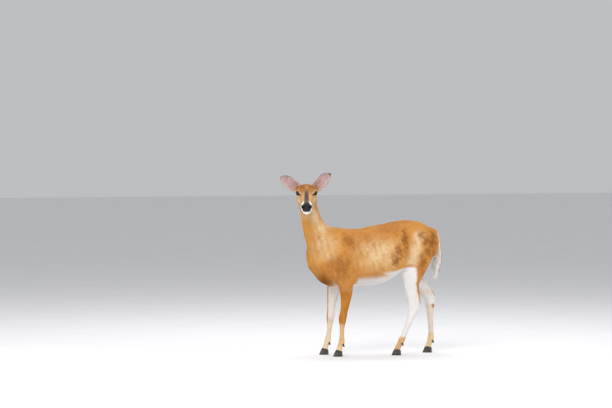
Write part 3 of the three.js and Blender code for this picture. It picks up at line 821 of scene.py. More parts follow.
@dataclass
class Netting:
    """Nets a shape's surface in cells that halve where the detail is fine."""

    shape: Callable[[Array], Array]
    cell: float
    low: Sequence[float]
    high: Sequence[float]
    levels: int
    level_at: Callable[[Array], Array]
    slack: float = 1.3  # how much too large the shape's distance may be
    margin: float = 1.5

    def __post_init__(self) -> None:
        """Sets up the lattice, counted in the smallest cells."""
        self.scale = 2 ** (self.levels - 1)
        self.fine = self.cell / self.scale
        self.origin = np.array(self.low, float)
        self.count = np.ceil((np.array(self.high) - self.origin) / self.cell).astype(np.int64)
        self.span = self.count * self.scale + 2
        level = self.level_at(self.origin + (box_places(self.count) + 0.5) * self.cell)
        self.level_grid = level.astype(np.int8).reshape(tuple(self.count))

    def key(self, lattice: Array) -> Array:
        """One number for each lattice place."""
        return (lattice[:, 0] * self.span[1] + lattice[:, 1]) * self.span[2] + lattice[:, 2]

    def place(self, key: Array) -> Array:
        """The lattice place of each number."""
        rest, z = np.divmod(key, self.span[2])
        x, y = np.divmod(rest, self.span[1])
        return columns(x, y, z)

    def level_of(self, lattice: Array) -> Array:
        """The level of the cell that each lattice place is the low corner of."""
        c = np.clip(lattice // self.scale, 0, self.count - 1)
        return self.level_grid[c[:, 0], c[:, 1], c[:, 2]].astype(np.int64)

    def near_surface(self, corners: Array, size: int) -> Array:
        """The cells, given by low corner and size in lattice steps, that the surface may pass through."""
        centres = self.origin + (corners + size / 2) * self.fine
        reach = size * self.fine * HALF_DIAGONAL * self.slack + self.margin
        return corners[np.abs(self.shape(centres)) < reach]

    @staticmethod
    def split(corners: Array, size: int, parts: int) -> Array:
        """Cells divided into parts along each side."""
        shifts = box_places([parts] * 3) * (size // parts)
        return (corners[:, None, :] + shifts[None]).reshape(-1, 3)

    def cells(self) -> list[Array]:
        """The cells near the surface at each level, by their low corners."""
        block = 4 * self.scale
        blocks = self.near_surface(box_places(-(-self.count // 4)) * block, block)
        coarse = self.split(blocks, block, 4)
        coarse = coarse[np.all(coarse // self.scale < self.count, axis=1)]
        coarse = self.near_surface(coarse, self.scale)
        level = self.level_of(coarse)
        found = [coarse[level == 0]]
        for n in range(1, self.levels):
            size, cells = self.scale, coarse[level == n]
            for _ in range(n):
                cells = self.near_surface(self.split(cells, size, 2), size // 2)
                size //= 2
            found.append(cells)
        return found

    def faces(self) -> tuple[Array, Array]:
        """Quads as the keys of four cells, one key twice in a triangle, and a point of the surface each."""
        found = []
        for n, cells in enumerate(self.cells()):
            if len(cells) == 0:
                continue
            shifts = box_places([2] * 3) * (self.scale >> n)
            corner_keys = np.unique(self.key((cells[:, None] + shifts[None]).reshape(-1, 3)))
            values = self.shape(self.origin + self.place(corner_keys) * self.fine)
            for axis in range(3):
                found.append(self.crossings(cells, n, axis, corner_keys, values))
        return np.vstack([f[0] for f in found]), np.vstack([f[1] for f in found])

    def crossings(
        self, cells: Array, n: int, axis: int, corner_keys: Array, values: Array
    ) -> tuple[Array, Array]:
        """The faces across the lattice edges of one axis and level that pass through the surface."""
        step = self.scale >> n
        along = np.eye(3, dtype=np.int64)[axis] * step
        b, c = (np.eye(3, dtype=np.int64)[(axis + k) % 3] * step for k in (1, 2))
        starts = np.unique(self.key(np.vstack([cells, cells + b, cells + c, cells + b + c])))
        start = self.place(starts)
        v0 = values[np.searchsorted(corner_keys, starts)]
        v1 = values[np.searchsorted(corner_keys, self.key(start + along))]
        hit = (v0 < 0) != (v1 < 0)
        share = (v0[hit] / (v0[hit] - v1[hit]))[:, None]
        start, outward = start[hit], v0[hit] < 0
        points = self.origin + (start + along * share) * self.fine
        around = [start - b - c, start - c, start, start - b]
        levels = [self.level_of(a) for a in around]
        smallest = np.max(levels, axis=0) <= n
        keys = []
        for a, level in zip(around, levels):
            size = self.scale >> level[smallest]
            keys.append(self.key(a[smallest] // size[:, None] * size[:, None]))
        quads = np.stack(keys, axis=1)
        return np.where(outward[smallest][:, None], quads, quads[:, ::-1]), points[smallest]

    def slope(self, points: Array, h: float = 0.6) -> tuple[Array, Array]:
        """The shape's distance and gradient at points."""
        ways = np.array([(1, -1, -1), (-1, -1, 1), (-1, 1, -1), (1, 1, 1)], float)
        d = [self.shape(points + w * h) for w in ways]
        return sum(d) / 4, sum(w * v[:, None] for w, v in zip(ways, d)) / (4 * h)

    def settle(self, points: Array, reach: Array, rounds: int) -> Array:
        """Points moved onto the surface, each by no more than its reach in all."""
        start = points.copy()
        for _ in range(rounds):
            d, g = self.slope(points)
            points = points - d[:, None] * g / np.maximum((g * g).sum(1), 0.05)[:, None]
            move = points - start
            length = np.linalg.norm(move, axis=1, keepdims=True)
            points = start + move * np.minimum(1, reach[:, None] / np.maximum(length, 1e-9))
        return points

    def mesh(self, smoothing: int) -> tuple[Array, Array]:
        """Vertices and faces.

        Args:
            smoothing: how many rounds of evening out the vertices get.

        Returns:
            The vertices in drawing coordinates and four vertex numbers a face.
        """
        quads, crossed = self.faces()
        keys, flat = np.unique(quads, return_inverse=True)
        quads = flat.reshape(-1, 4)
        size = (self.scale >> self.level_of(self.place(keys))) * self.fine
        uses = np.bincount(quads.ravel(), minlength=len(keys))
        points = gathered(quads.ravel(), np.repeat(crossed, 4, axis=0), len(keys)) / uses[:, None]
        points = self.settle(points, size * 0.5, 2)
        edges = np.vstack([quads[:, (i, (i + 1) % 4)] for i in range(4)])
        edges = edges[edges[:, 0] != edges[:, 1]]
        edges = np.vstack([edges, edges[:, ::-1]])
        degree = np.bincount(edges[:, 0], minlength=len(points))
        for _ in range(smoothing):
            mean = gathered(edges[:, 0], points[edges[:, 1]], len(points))
            mean /= np.maximum(degree, 1)[:, None]
            points = self.settle(points + 0.6 * (mean - points), size * 0.5, 1)
        return points, quads


def as_faces(quads: Array) -> list[list[int]]:
    """Quads as lists for a mesh, those that repeat a corner as triangles."""
    faces = []
    for q in quads.tolist():
        f = [v for i, v in enumerate(q) if v != q[i - 1]]
        if len(set(f)) == len(f) and len(f) > 2:
            faces.append(f)
    return faces


def add_piece(
    name: str, points: Array, corners: Array, counts: Array, nodes: Sequence[str] = ()
) -> Piece:
    """A smooth piece that rides on the frame.

    Args:
        name: the piece's name.
        points: its vertices in drawing coordinates.
        corners: the vertex numbers of every face, one after another.
        counts: how many corners each face has.
        nodes: the nodes of the frame that it stands for.

    Returns:
        The new object.
    """
    mesh = bpy.data.meshes.new(name)
    mesh.vertices.add(len(points))
    mesh.vertices.foreach_set("co", to_frame(points).astype(np.float32).ravel())
    mesh.loops.add(len(corners))
    mesh.loops.foreach_set("vertex_index", corners.astype(np.int32))
    mesh.polygons.add(len(counts))
    mesh.polygons.foreach_set("loop_start", (np.cumsum(counts) - counts).astype(np.int32))
    mesh.polygons.foreach_set("loop_total", counts.astype(np.int32))
    mesh.polygons.foreach_set("use_smooth", np.ones(len(counts), bool))
    mesh.update(calc_edges=True)
    piece = bpy.data.objects.new(name, mesh)
    bpy.context.scene.collection.objects.link(piece)
    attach(piece, "root")
    if nodes:
        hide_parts(*nodes)
    return piece


def add_mesh(
    name: str, points: Array, faces: Sequence[Sequence[int]], nodes: Sequence[str]
) -> Piece:
    """A piece whose faces are lists of vertex numbers."""
    corners = np.fromiter((v for f in faces for v in f), np.int32)
    return add_piece(name, points, corners, np.array([len(f) for f in faces]), nodes)


def add_triangles(name: str, points: Array, faces: Array) -> Piece:
    """A piece of many small triangles."""
    return add_piece(name, points, faces.ravel(), np.full(len(faces), 3))


def tube_faces(rings: int, turns: int, start: int, ends: tuple[int, int]) -> list[tuple[int, ...]]:
    """Faces over rings of vertices, with a fan at either end.

    They look outwards where the rings turn left as seen from the first end.

    Args:
        rings: how many rings there are.
        turns: how many vertices a ring has.
        start: the number of the first ring's first vertex.
        ends: the vertices in the middle of the first end and of the last.

    Returns:
        The vertex numbers of each face.
    """
    faces = []
    last = start + (rings - 1) * turns
    for t in range(turns):
        u = (t + 1) % turns
        for ring in range(start, last, turns):
            faces.append((ring + t, ring + turns + t, ring + turns + u, ring + u))
        faces.append((ends[0], start + t, start + u))
        faces.append((ends[1], last + u, last + t))
    return faces


def set_numbers(mesh: bpy.types.Mesh, name: str, values: Array) -> None:
    """Stores a number or a vector at every vertex."""
    wide = values.ndim == 2
    layer = mesh.attributes.new(name, "FLOAT_VECTOR" if wide else "FLOAT", "POINT")
    layer.data.foreach_set("vector" if wide else "value", values.astype(np.float32).ravel())


def set_marks(mesh: bpy.types.Mesh, shares: Array) -> None:
    """Stores the shares of the six colours at every vertex, three in each vector."""
    set_numbers(mesh, "marks_a", shares[:, :3])
    set_numbers(mesh, "marks_b", shares[:, 3:])


# ---- Markings and the lie of the coat ----


@dataclass
class Surroundings:
    """What the markings and the coat need to know about points of the skin."""

    points: Array
    normals: Array
    head: Array = field(init=False)
    facing: Array = field(init=False)  # the normals in the head's frame
    on_head: Array = field(init=False)
    ear_gap: dict[Side, Array] = field(init=False)
    ear_own: dict[Side, Array] = field(init=False)
    leg_gap: dict[Leg, Array] = field(init=False)
    leg_line: dict[Leg, Array] = field(init=False)
    leg_way: dict[Leg, Array] = field(init=False)
    tail_gap: Array = field(init=False)
    tail_share: Array = field(init=False)
    tail_way: Array = field(init=False)
    neck_way: Array = field(init=False)
    on_neck: Array = field(init=False)

    def __post_init__(self) -> None:
        """Measures the points against the doe's parts."""
        p = self.points
        self.head = HEAD_PLACE.local(p)
        self.facing = self.normals @ HEAD_PLACE.matrix()[0]
        self.ear_gap = {ear.side: ear.distance(p) for ear in ANATOMY.ears}
        self.ear_own = {ear.side: ear.local(p) for ear in ANATOMY.ears}
        self.leg_gap, self.leg_line, self.leg_way = {}, {}, {}
        for leg, limb in ANATOMY.legs.items():
            self.leg_gap[leg], _, self.leg_way[leg] = limb.trace(p)
            heights = limb.fine[::-1, 2]
            self.leg_line[leg] = np.interp(p[:, 2], heights, limb.fine[::-1, 0])
        self.tail_gap, self.tail_share, self.tail_way = ANATOMY.tail.trace(p)
        neck_gap, _, self.neck_way = ANATOMY.neck.trace(p)
        skull_gap = ANATOMY.skull.distance(p)
        trunk_gap = ANATOMY.trunk.distance(p)
        self.on_head = ramp(-14, 14, neck_gap - skull_gap) * (p[:, 2] > 850)
        for gap in self.ear_gap.values():
            self.on_head = np.maximum(self.on_head, (gap < 14) & (p[:, 2] > 960))
        self.on_neck = ramp(-30, 30, trunk_gap - neck_gap) * (1 - self.on_head) * (p[:, 0] < -230)

    def on_leg(self, leg: Leg) -> Array:
        """1 on a leg, below the body."""
        return (self.leg_gap[leg] < 12) * ramp(0, 20, 60 - np.abs(self.points[:, 1] - leg.y))

    def on_tail(self, far: float, close: float, front: float = 350, top: float = TAIL_TOP) -> Array:
        """1 on the tail, falling to 0 between two distances from it, behind a place and under a height."""
        x, _, z = self.points.T
        return ramp(far, close, self.tail_gap) * (x > front) * (z < top)

    def ear_share(self) -> Array:
        """How far along an ear points are, from its root to its tip."""
        shares = [np.clip(self.ear_own[ear.side][:, 0] / ear.size.length, 0, 1) for ear in ANATOMY.ears]
        return np.maximum(*shares)

    def ear_inside(self, side: Side) -> Array:
        """1 on the face of an ear that its cup holds."""
        ear = next(e for e in ANATOMY.ears if e.side is side)
        own = self.ear_own[side]
        _, _, shift = ear.section(ear.share(own))
        deep, across = -own[:, 1] - shift, own[:, 2]
        n = self.facing @ ear.axes().T
        outward = (-n[:, 1] * deep + n[:, 2] * across) / np.maximum(np.hypot(deep, across), TINY)
        on = (self.ear_gap[side] < 4) & (own[:, 0] > -2)
        return on * ramp(0.35, -0.35, outward)


@dataclass
class Markings:
    """Where each colour of the coat lies over its russet ground."""

    near: Surroundings
    pale: Array = field(init=False)
    dark: Array = field(init=False)
    white: Array = field(init=False)
    pink: Array = field(init=False)
    grey: Array = field(init=False)
    black: Array = field(init=False)
    # Painted shadows of leaves on the shoulder, flank and rump, laid on as darker patches: x, z, half
    # length, half height, strength.
    painted_leaf_shadows: tuple[tuple[float, float, float, float, float], ...] = (
        (-197, 733, 46, 46, 0.6),
        (-244, 560, 50, 66, 0.5),
        (150, 735, 24, 64, 0.9),
        (112, 655, 28, 36, 0.85),
        (92, 604, 28, 56, 0.85),
        (262, 752, 28, 30, 0.8),
        (292, 716, 30, 30, 0.8),
        (330, 700, 34, 44, 0.9),
        (345, 752, 26, 26, 0.7),
        (312, 645, 30, 40, 0.75),
        (276, 580, 26, 48, 0.7),
        (348, 640, 24, 44, 0.7),
    )
    # The black pad of the nose: its half width at heights in the head's frame.
    nose: tuple[tuple[float, float], ...] = (
        (-33, 6), (-28, 15), (-22, 21), (-14, 26), (-6, 30),
        (0, 32.5), (6, 33.5), (14, 29), (22, 19), (31, 11),
    )

    def __post_init__(self) -> None:
        """Starts with bare russet."""
        bare = np.zeros((6, len(self.near.points)))
        self.pale, self.dark, self.white, self.pink, self.grey, self.black = bare

    def shares(self) -> Array:
        """Every colour's share at every point, in columns, in the order in which they are laid on."""
        self.trunk()
        self.legs()
        self.tail()
        self.face()
        self.ears()
        found = columns(self.pale, self.dark, self.white, self.pink, self.grey, self.black)
        return np.clip(found, 0, 1)

    def trunk(self) -> None:
        """Paler ribs, shoulder and thigh that are painted sunlight, a paler neck, darker patches that are
        painted shadows of leaves, a darker brisket, and the white of the belly and groin.
        """
        p, n = self.near.points, self.near.normals
        x, y, z = p.T
        uneven = ripple(p, 90) * 0.5 + ripple(p, 31, 2) * 0.35
        body = (1 - self.near.on_head) * (z > 400)
        sides = ramp(0.9, 0.35, n[:, 2])
        streaks = ripple(p * np.array([1.0, 1.0, 0.3]), 30, 5)
        # The paler patches on the ribs, shoulder and thigh are painted sunlight on the coat.
        ribs = bump_at(x, -20, 190) * bump_at(z, 640, 160)
        shoulder = bump_at(x, -345, 110) * bump_at(z, 690, 130)
        thigh = bump_at(x - 0.24 * (z - 660), 218, 62) * ramp(545, 580, z) * ramp(800, 740, z)
        neck = self.near.on_neck * bump_at(n[:, 0], 0.3, 0.9)
        pale = (0.85 * ribs + 0.7 * shoulder + 1.05 * thigh) * sides + 0.75 * neck + 0.12
        pale *= 0.8 + 0.4 * uneven + 0.28 * streaks
        self.pale += body * np.clip(pale, 0, 0.9)
        # The darker patches below are painted shadows of leaves, not markings of the coat.
        dark = np.zeros(len(p))
        torn = ripple(p, 26, 9) * 0.6 + ripple(p, 12, 12) * 0.4
        for cx, cz, half_length, half_height, strength in self.painted_leaf_shadows:
            reach = np.hypot((x - cx) / half_length, (z - cz) / half_height)
            dark = np.maximum(dark, strength * ramp(1.45, 0.15, reach + 0.55 * torn + 0.3 * streaks))
        breast_line = 515 - 0.5 * (x + 385)
        brisket = bump_at(x, -342, 80) * ramp(20, -20, z - breast_line + 14 * uneven) * (z > 430)
        spine = ramp(0.86, 1.0, n[:, 2]) * (x > -330) * 0.25
        self.dark += body * np.clip(dark * sides + brisket + spine, 0, 1)
        _, bottom, _, _ = ANATOMY.trunk.lines(np.clip(x, -438, 405))
        height = z - bottom + 9 * uneven
        band = np.interp(x, [-260, -190, -100, 0, 80, 138, 185, 230], [-8, 3, 4, 5, 10, 26, 22, 4])
        belly = ramp(1.35, 0.75, height / np.maximum(band, 1)) * (band > 0)
        belly *= ramp(-262, -190, x) * ramp(236, 212, x)
        under = ramp(-0.45, -0.8, n[:, 2]) * ramp(-310, -240, x)
        for leg in (Leg.FORE_LEFT, Leg.FORE_RIGHT):
            apart = ramp(8, 26, self.near.leg_gap[leg])
            belly, under = belly * apart, under * apart
        seat = ramp(300, 345, x) * ramp(52, 34, np.abs(y) + 6 * uneven)
        seat *= ramp(745, 715, z) * (z > 480)
        inner = ramp(0.15, 0.5, -n[:, 1] * np.sign(y)) * (x > 150) * (z < 690)
        self.white += body * np.clip(belly + under + seat + inner, 0, 1)
        throat = self.near.on_neck * ramp(835, 872, z + 10 * uneven)
        throat *= ramp(0.1, 0.6, -n[:, 0] * 0.7 - n[:, 1] * 0.75)
        self.white += 0.06 * throat
        self.pale += 0.15 * throat

    def legs(self) -> None:
        """The white stockings of the hind legs, the paler insides and the tan feet."""
        p, n = self.near.points, self.near.normals
        x, _, z = p.T
        uneven = ripple(p, 60, 3) * 0.6 + ripple(p, 19, 4) * 0.4
        for leg in Leg:
            on = self.near.on_leg(leg)
            outward = n[:, 1] * leg.side.value
            across = x - self.near.leg_line[leg]
            if leg.end == "hind":
                self.hind_leg(on, outward, across, uneven)
                continue
            inside = ramp(-0.25, -0.7, outward) * (z < 470)
            self.white += on * inside * (0.5 * ramp(180, 260, z) + 0.3)
            self.pale += on * inside * 0.5
            cannon = ramp(222, 190, z + 8 * uneven)
            self.pale += on * cannon * 0.7
            knee = bump_at(z, 236, 46) * ramp(0, 14, -across)
            self.dark += on * (0.12 * ramp(440, 330, z) * (1 - cannon) + 0.2 * knee)
            self.pale += on * ramp(78, 52, z) * 0.5

    def hind_leg(self, on: Array, outward: Array, across: Array, uneven: Array) -> None:
        """White from the stifle to the fetlock, with a russet strip down the back of the thigh."""
        z = self.near.points[:, 2]
        edge = 546 + 12 * uneven
        back_edge = np.interp(z, [300, 345, 405, 470, 500, 546], [44, 38, 33, 24, 17, -4])
        strip = ramp(-7, 7, across - back_edge + 5 * uneven) * ramp(300, 345, z)
        outer = ramp(edge + 14, edge - 10, z) * (1 - strip) * ramp(104, 126, z + 6 * uneven)
        outside = ramp(-0.35, 0.1, outward)
        self.white += on * outside * outer
        inner = (1 - outside) * ramp(620, 560, z)
        hock = bump_at(z, 338, 44) * (1 - outside)
        low = ramp(110, 140, z) * (0.6 + 0.4 * ramp(350, 450, z + 24 * uneven))
        self.white += on * (inner * low + 0.6 * hock)
        self.pale += on * (0.75 * inner + 0.6 * ramp(126, 100, z))
        spot = bump_at(z, 300, 24) * ramp(2, 16, across) * ramp(0.1, -0.4, outward)
        self.dark += on * spot * 0.9
        self.white -= on * spot

    def tail(self) -> None:
        """Russet along the top of the tail, and white at its sides, under it and at the tip."""
        n, share = self.near.normals, self.near.tail_share
        on = self.near.on_tail(8, 2, 340, 790) * ramp(0.12, 0.22, share)
        top = ramp(0.7, 0.92, n[:, 0]) * ramp(0.9, 0.7, share)
        self.white = self.white * (1 - on) + on * (1 - top)
        self.pale *= 1 - on
        self.dark = self.dark * (1 - on) + on * top * 0.35

    def face(self) -> None:
        """The bridge's grey stripe, the black nose, and the white of the muzzle and the chin."""
        near, h, n = self.near, self.near.head, self.near.facing
        back, side, up = h.T
        on = near.on_head * (near.ear_gap[Side.LEFT] > 3) * (near.ear_gap[Side.RIGHT] > 3)
        uneven = ripple(h, 30, 1) * 0.5 + ripple(h, 11, 6) * 0.4
        out = np.abs(side)
        # The dark on the forehead is the deer's own darker crown, deepened with painted shade of the face.
        forehead = ramp(112, 140, back) * ramp(0.0, 0.5, n[:, 2]) * ramp(268, 225, back)
        self.dark += on * 0.62 * forehead * (0.8 + 0.35 * uneven)
        brow = ramp(1.2, 0.1, np.hypot((back - 178) / 42, (out - 30) / 22) + 0.2 * uneven)
        self.dark += on * 0.4 * brow * (up > 30)
        middle = bump_at(side, 0, 9) * bump_at(back, 165, 42) * (up > 30)
        self.pale += on * (0.4 * middle + 0.42 * ramp(0.55, 0.1, n[:, 2]) + 0.1)
        half = np.interp(back, [0, 20, 60, 120, 160], [13, 13, 12, 10, 5]) + 1.5 * uneven
        stripe = ramp(4.5, -4.5, out - half) * ramp(0.3, 0.6, n[:, 2])
        stripe *= ramp(158, 108, back + 9 * uneven) * (back > 4)
        # The stripe is the deer's grey bridge. The 0.1 of grey over all of the face behind the muzzle is
        # painted shade.
        self.grey += on * (0.93 * stripe + 0.1 * (back > 48))
        beside = bump_at(out, 24, 12) * ramp(0.1, 0.5, n[:, 2]) * bump_at(back, 80, 66)
        self.pale += on * 0.55 * beside
        below = np.zeros(len(h))
        for s in Side:
            own, gap, close = FACE.round_eye(h, s, 40, 6)
            rim = close * ramp(6.0, 3.0, gap + uneven)
            corner = ramp(1.1, 0.4, np.hypot((own[:, 0] + 20) / 13, (own[:, 1] + 1) / 8)) * close
            above = ramp(12.5, 8, gap) * ramp(-3, 2, own[:, 1])
            under = ramp(15, 8, gap) * ramp(2, -4, own[:, 1])
            self.white += on * close * np.maximum(0.25 * above, 0.2 * under)
            self.pale += on * close * np.maximum(0.75 * above, 0.75 * under)
            self.black += on * np.maximum(rim, 0.9 * corner)
            cheek = np.hypot((back - 118) / 34, (up - 8) / 24) + 0.2 * uneven
            below = np.maximum(below, ramp(1.2, 0.1, cheek) * (s.value * side > 20))
        self.pale += on * 0.75 * below
        self.grey += on * 0.08 * below
        ring = ramp(46 + 6 * uneven, 30 + 4 * uneven, back)
        around = ramp(11, 22, out + np.maximum(-up, 0))
        self.white += on * ring * around * 0.9
        chin = ramp(-1, -5, up - FACE.mouth_height(back)) * ramp(135, 95, back)
        chin = np.maximum(chin, ramp(-0.4, -0.75, n[:, 2]) * ramp(165, 120, back))
        self.white += on * chin * 0.95
        band = bump_at(back, 62, 16) * ramp(20, 30, out) * ramp(-34, -14, up)
        self.dark += on * 0.35 * band
        spot = ramp(1, 0.4, np.hypot((back - 52) / 9, (up + 39) / 6)) * (out > 14)
        self.black += on * 0.75 * spot
        heights, widths = np.array(self.nose).T
        pad = ramp(1.5, -1.0, out - np.interp(up, heights, widths))
        pad *= ramp(27, 20, back) * (up > -31)
        self.black = np.maximum(self.black, on * pad)
        lips = bump_at(up - FACE.mouth_height(back), 0, 3.2) * ramp(100, 80, back)
        self.black += on * lips * 0.8

    def ears(self) -> None:
        """White-haired pink insides, dark rims and russet backs."""
        near = self.near
        for ear in ANATOMY.ears:
            own = near.ear_own[ear.side]
            on = ramp(6, 2, near.ear_gap[ear.side]) * (own[:, 0] > -8)
            inside = near.ear_inside(ear.side)
            s = ear.share(own)
            bend, radius, shift = ear.section(s)
            turn = np.abs(np.arctan2(own[:, 2], -own[:, 1] - shift))
            rim = np.minimum((bend - turn) * radius, (1 - s) * ear.size.length)
            one_side = 0.5 + 0.5 * (own[:, 2] * ear.side.value > 0)
            edge = on * ramp(3.6, 0.8, rim) * ramp(0.3, 0.7, s) * one_side
            for share in (self.white, self.pale, self.dark, self.grey):
                share *= 1 - on * ramp(0.02, 0.12, s)
            self.pink += on * inside * (0.95 - 0.4 * ramp(20, 4, rim))
            white = (0.3 + 0.55 * ramp(32, 8, rim)) * ramp(0.98, 0.85, s)
            self.white += on * inside * white
            self.dark += on * (1 - inside) * (0.5 + 0.35 * ramp(0.5, 0.95, s))
            self.black += edge * (0.55 + 0.35 * ramp(0.6, 0.95, s))
            root = on * ramp(0.2, 0.05, s) * ramp(-0.2, 0.3, -near.facing[:, 0])
            self.white += root * 0.7


@dataclass
class Lie:
    """Which way the coat lies."""

    near: Surroundings

    @staticmethod
    def turned(ways: Array, way: Array, hold: Array) -> Array:
        """Directions turned to another way by a share."""
        return ways * (1 - hold[:, None]) + way * hold[:, None]

    def ways(self) -> Array:
        """A unit direction along the skin at every point."""
        near, p, n = self.near, self.near.points, self.near.normals
        x, _, z = p.T
        side = ramp(0.85, 0.2, np.abs(n[:, 2]))
        drop = 0.12 + 0.3 * side + 1.6 * ramp(330, 400, x) + 0.9 * ramp(-300, -400, x)
        total = columns(np.ones(len(p)) * ramp(-430, -330, x), np.zeros(len(p)), -drop)
        total += 1.6 * near.on_neck[:, None] * -near.neck_way
        for leg in Leg:
            hold = ramp(24, -4, near.leg_gap[leg]) * ramp(560, 440, z)
            total = self.turned(total, near.leg_way[leg], hold)
        total = self.turned(total, near.tail_way, near.on_tail(10, 2))
        h = near.head
        cheek = ramp(10, 60, h[:, 0]) * 0.25
        spread = np.sign(h[:, 1]) * 0.25 * ramp(0.2, 0.8, near.facing[:, 2])
        own = columns(np.ones(len(p)), spread, -cheek)
        total = self.turned(total, HEAD_PLACE.direction(own), near.on_head)
        for s in Side:
            own, gap, close = FACE.round_eye(h, s, 40, 6)
            away = unit(own * np.array([1.0, 1.3, 0.0])) @ EYE.axes(s)
            total = self.turned(total, HEAD_PLACE.direction(away), ramp(13, 4, gap) * close)
        for ear in ANATOMY.ears:
            hold = ramp(8, 2, near.ear_gap[ear.side]) * (near.ear_own[ear.side][:, 0] > 0)
            total = self.turned(total, HEAD_PLACE.direction(ear.axes()[0]), hold)
        flat = total - n * (total * n).sum(1, keepdims=True)
        weak = norms(flat) < 0.05
        flat[weak] = np.array([0, 0, -1.0]) - n[weak] * -n[weak, 2:3]
        return unit(flat)


# ---- The pieces of flesh: the skin, and the coat over it ----


@dataclass
class Skin:
    """The doe's skin in one piece, without a seam."""

    cell: float = 6.2
    low: Triple = (-640.0, -240.0, 0.0)
    high: Triple = (440.0, 200.0, 1180.0)
    smoothing: int = 2
    piece: Piece = field(init=False)
    near: Surroundings = field(init=False)
    steep: Array = field(init=False)
    shares: Array = field(init=False)  # of the six colours
    ways: Array = field(init=False)
    corners: Array = field(init=False)

    @staticmethod
    def detail(points: Array) -> Array:
        """How fine the cells are at points: 0, 1 or 2."""
        level = np.where((points[:, 2] < 290) | (points[:, 2] > 880), 1, 0)
        h = HEAD_PLACE.local(points)
        for side in Side:
            level[norms(h - EYE.centre(side)) < 36] = 2
        muzzle = (h[:, 0] < 50) & (h[:, 0] > -20) & (np.abs(h[:, 1]) < 60) & (points[:, 2] > 860)
        level[muzzle] = 2
        for ear in ANATOMY.ears:
            level[(ear.distance(points) < 12) & (points[:, 2] > 980)] = 2
        return level

    def build(self, nodes: Sequence[str]) -> Piece:
        """Nets the skin, marks it and puts it in the scene.

        Args:
            nodes: the flesh of the frame that the skin stands for.

        Returns:
            The piece.
        """
        net = Netting(ANATOMY.skin, self.cell, self.low, self.high, 3, self.detail)
        points, quads = net.mesh(self.smoothing)
        self.corners = quads
        self.piece = add_mesh("skin", points, as_faces(quads), nodes)
        _, slope = net.slope(points)
        self.near = Surroundings(points, unit(slope))
        self.steep = norms(slope).clip(0.6, 4)
        self.shares = Markings(self.near).shares()
        self.ways = Lie(self.near).ways()
        mesh = self.piece.data
        set_marks(mesh, self.shares)
        wet = self.nose() * ramp(0.4, 0.8, self.shares[:, BLACK])
        set_numbers(mesh, "fibre", columns(0.5 + 0 * wet, 0 * wet, wet))
        return self.piece

    def nose(self) -> Array:
        """1 on the bare skin of the nose."""
        return ramp(30, 24, self.near.head[:, 0]) * (self.near.head[:, 2] > -33) * self.near.on_head

    def bare(self) -> Array:
        """1 where no hair grows: the nose, the lids' edges, the lips' line and the nostrils."""
        h = self.near.head
        bare = self.nose() * ramp(0.3, 0.7, self.shares[:, BLACK])
        for side in Side:
            _, gap, close = FACE.round_eye(h, side, 34, 8)
            bare = np.maximum(bare, close * ramp(2.8, 1.4, gap))
        lips = np.abs(h[:, 2] - FACE.mouth_height(h[:, 0])) < 1.8
        bare = np.maximum(bare, lips & (h[:, 0] < 96) & (self.near.on_head > 0.5))
        return np.maximum(bare, self.near.points[:, 2] < 29)


class Region(Enum):
    """The pieces of the coat, each with a slot name that is not used."""

    FOREQUARTERS = ("coat_forequarters", "coat_brown")
    BARREL = ("coat_barrel", "coat_brown")
    HINDQUARTERS = ("coat_hindquarters", "coat_brown")
    NECK = ("coat_neck", "coat_brown")
    HEAD = ("coat_head", "coat_face")
    FORELEGS = ("coat_forelegs", "coat_brown")
    HINDLEGS = ("coat_hindlegs", "coat_white")
    TAIL = ("coat_tail", "coat_white")
    EARS = ("coat_ears", "ear")


@dataclass
class Roots:
    """Places where tufts grow, with what the skin says there."""

    points: Array
    normals: Array
    ways: Array
    shares: Array  # of the six colours
    depth: Array
    steep: Array  # how fast the measure of the skin grows with distance
    ear: Array  # 1 on an ear
    ear_inside: Array
    ear_share: Array  # from its root to its tip
    tail: Array
    head: Array
    neck: Array

    def take(self, which: Array) -> "Roots":
        """Some of the roots."""
        return Roots(**{name: value[which] for name, value in vars(self).items()})


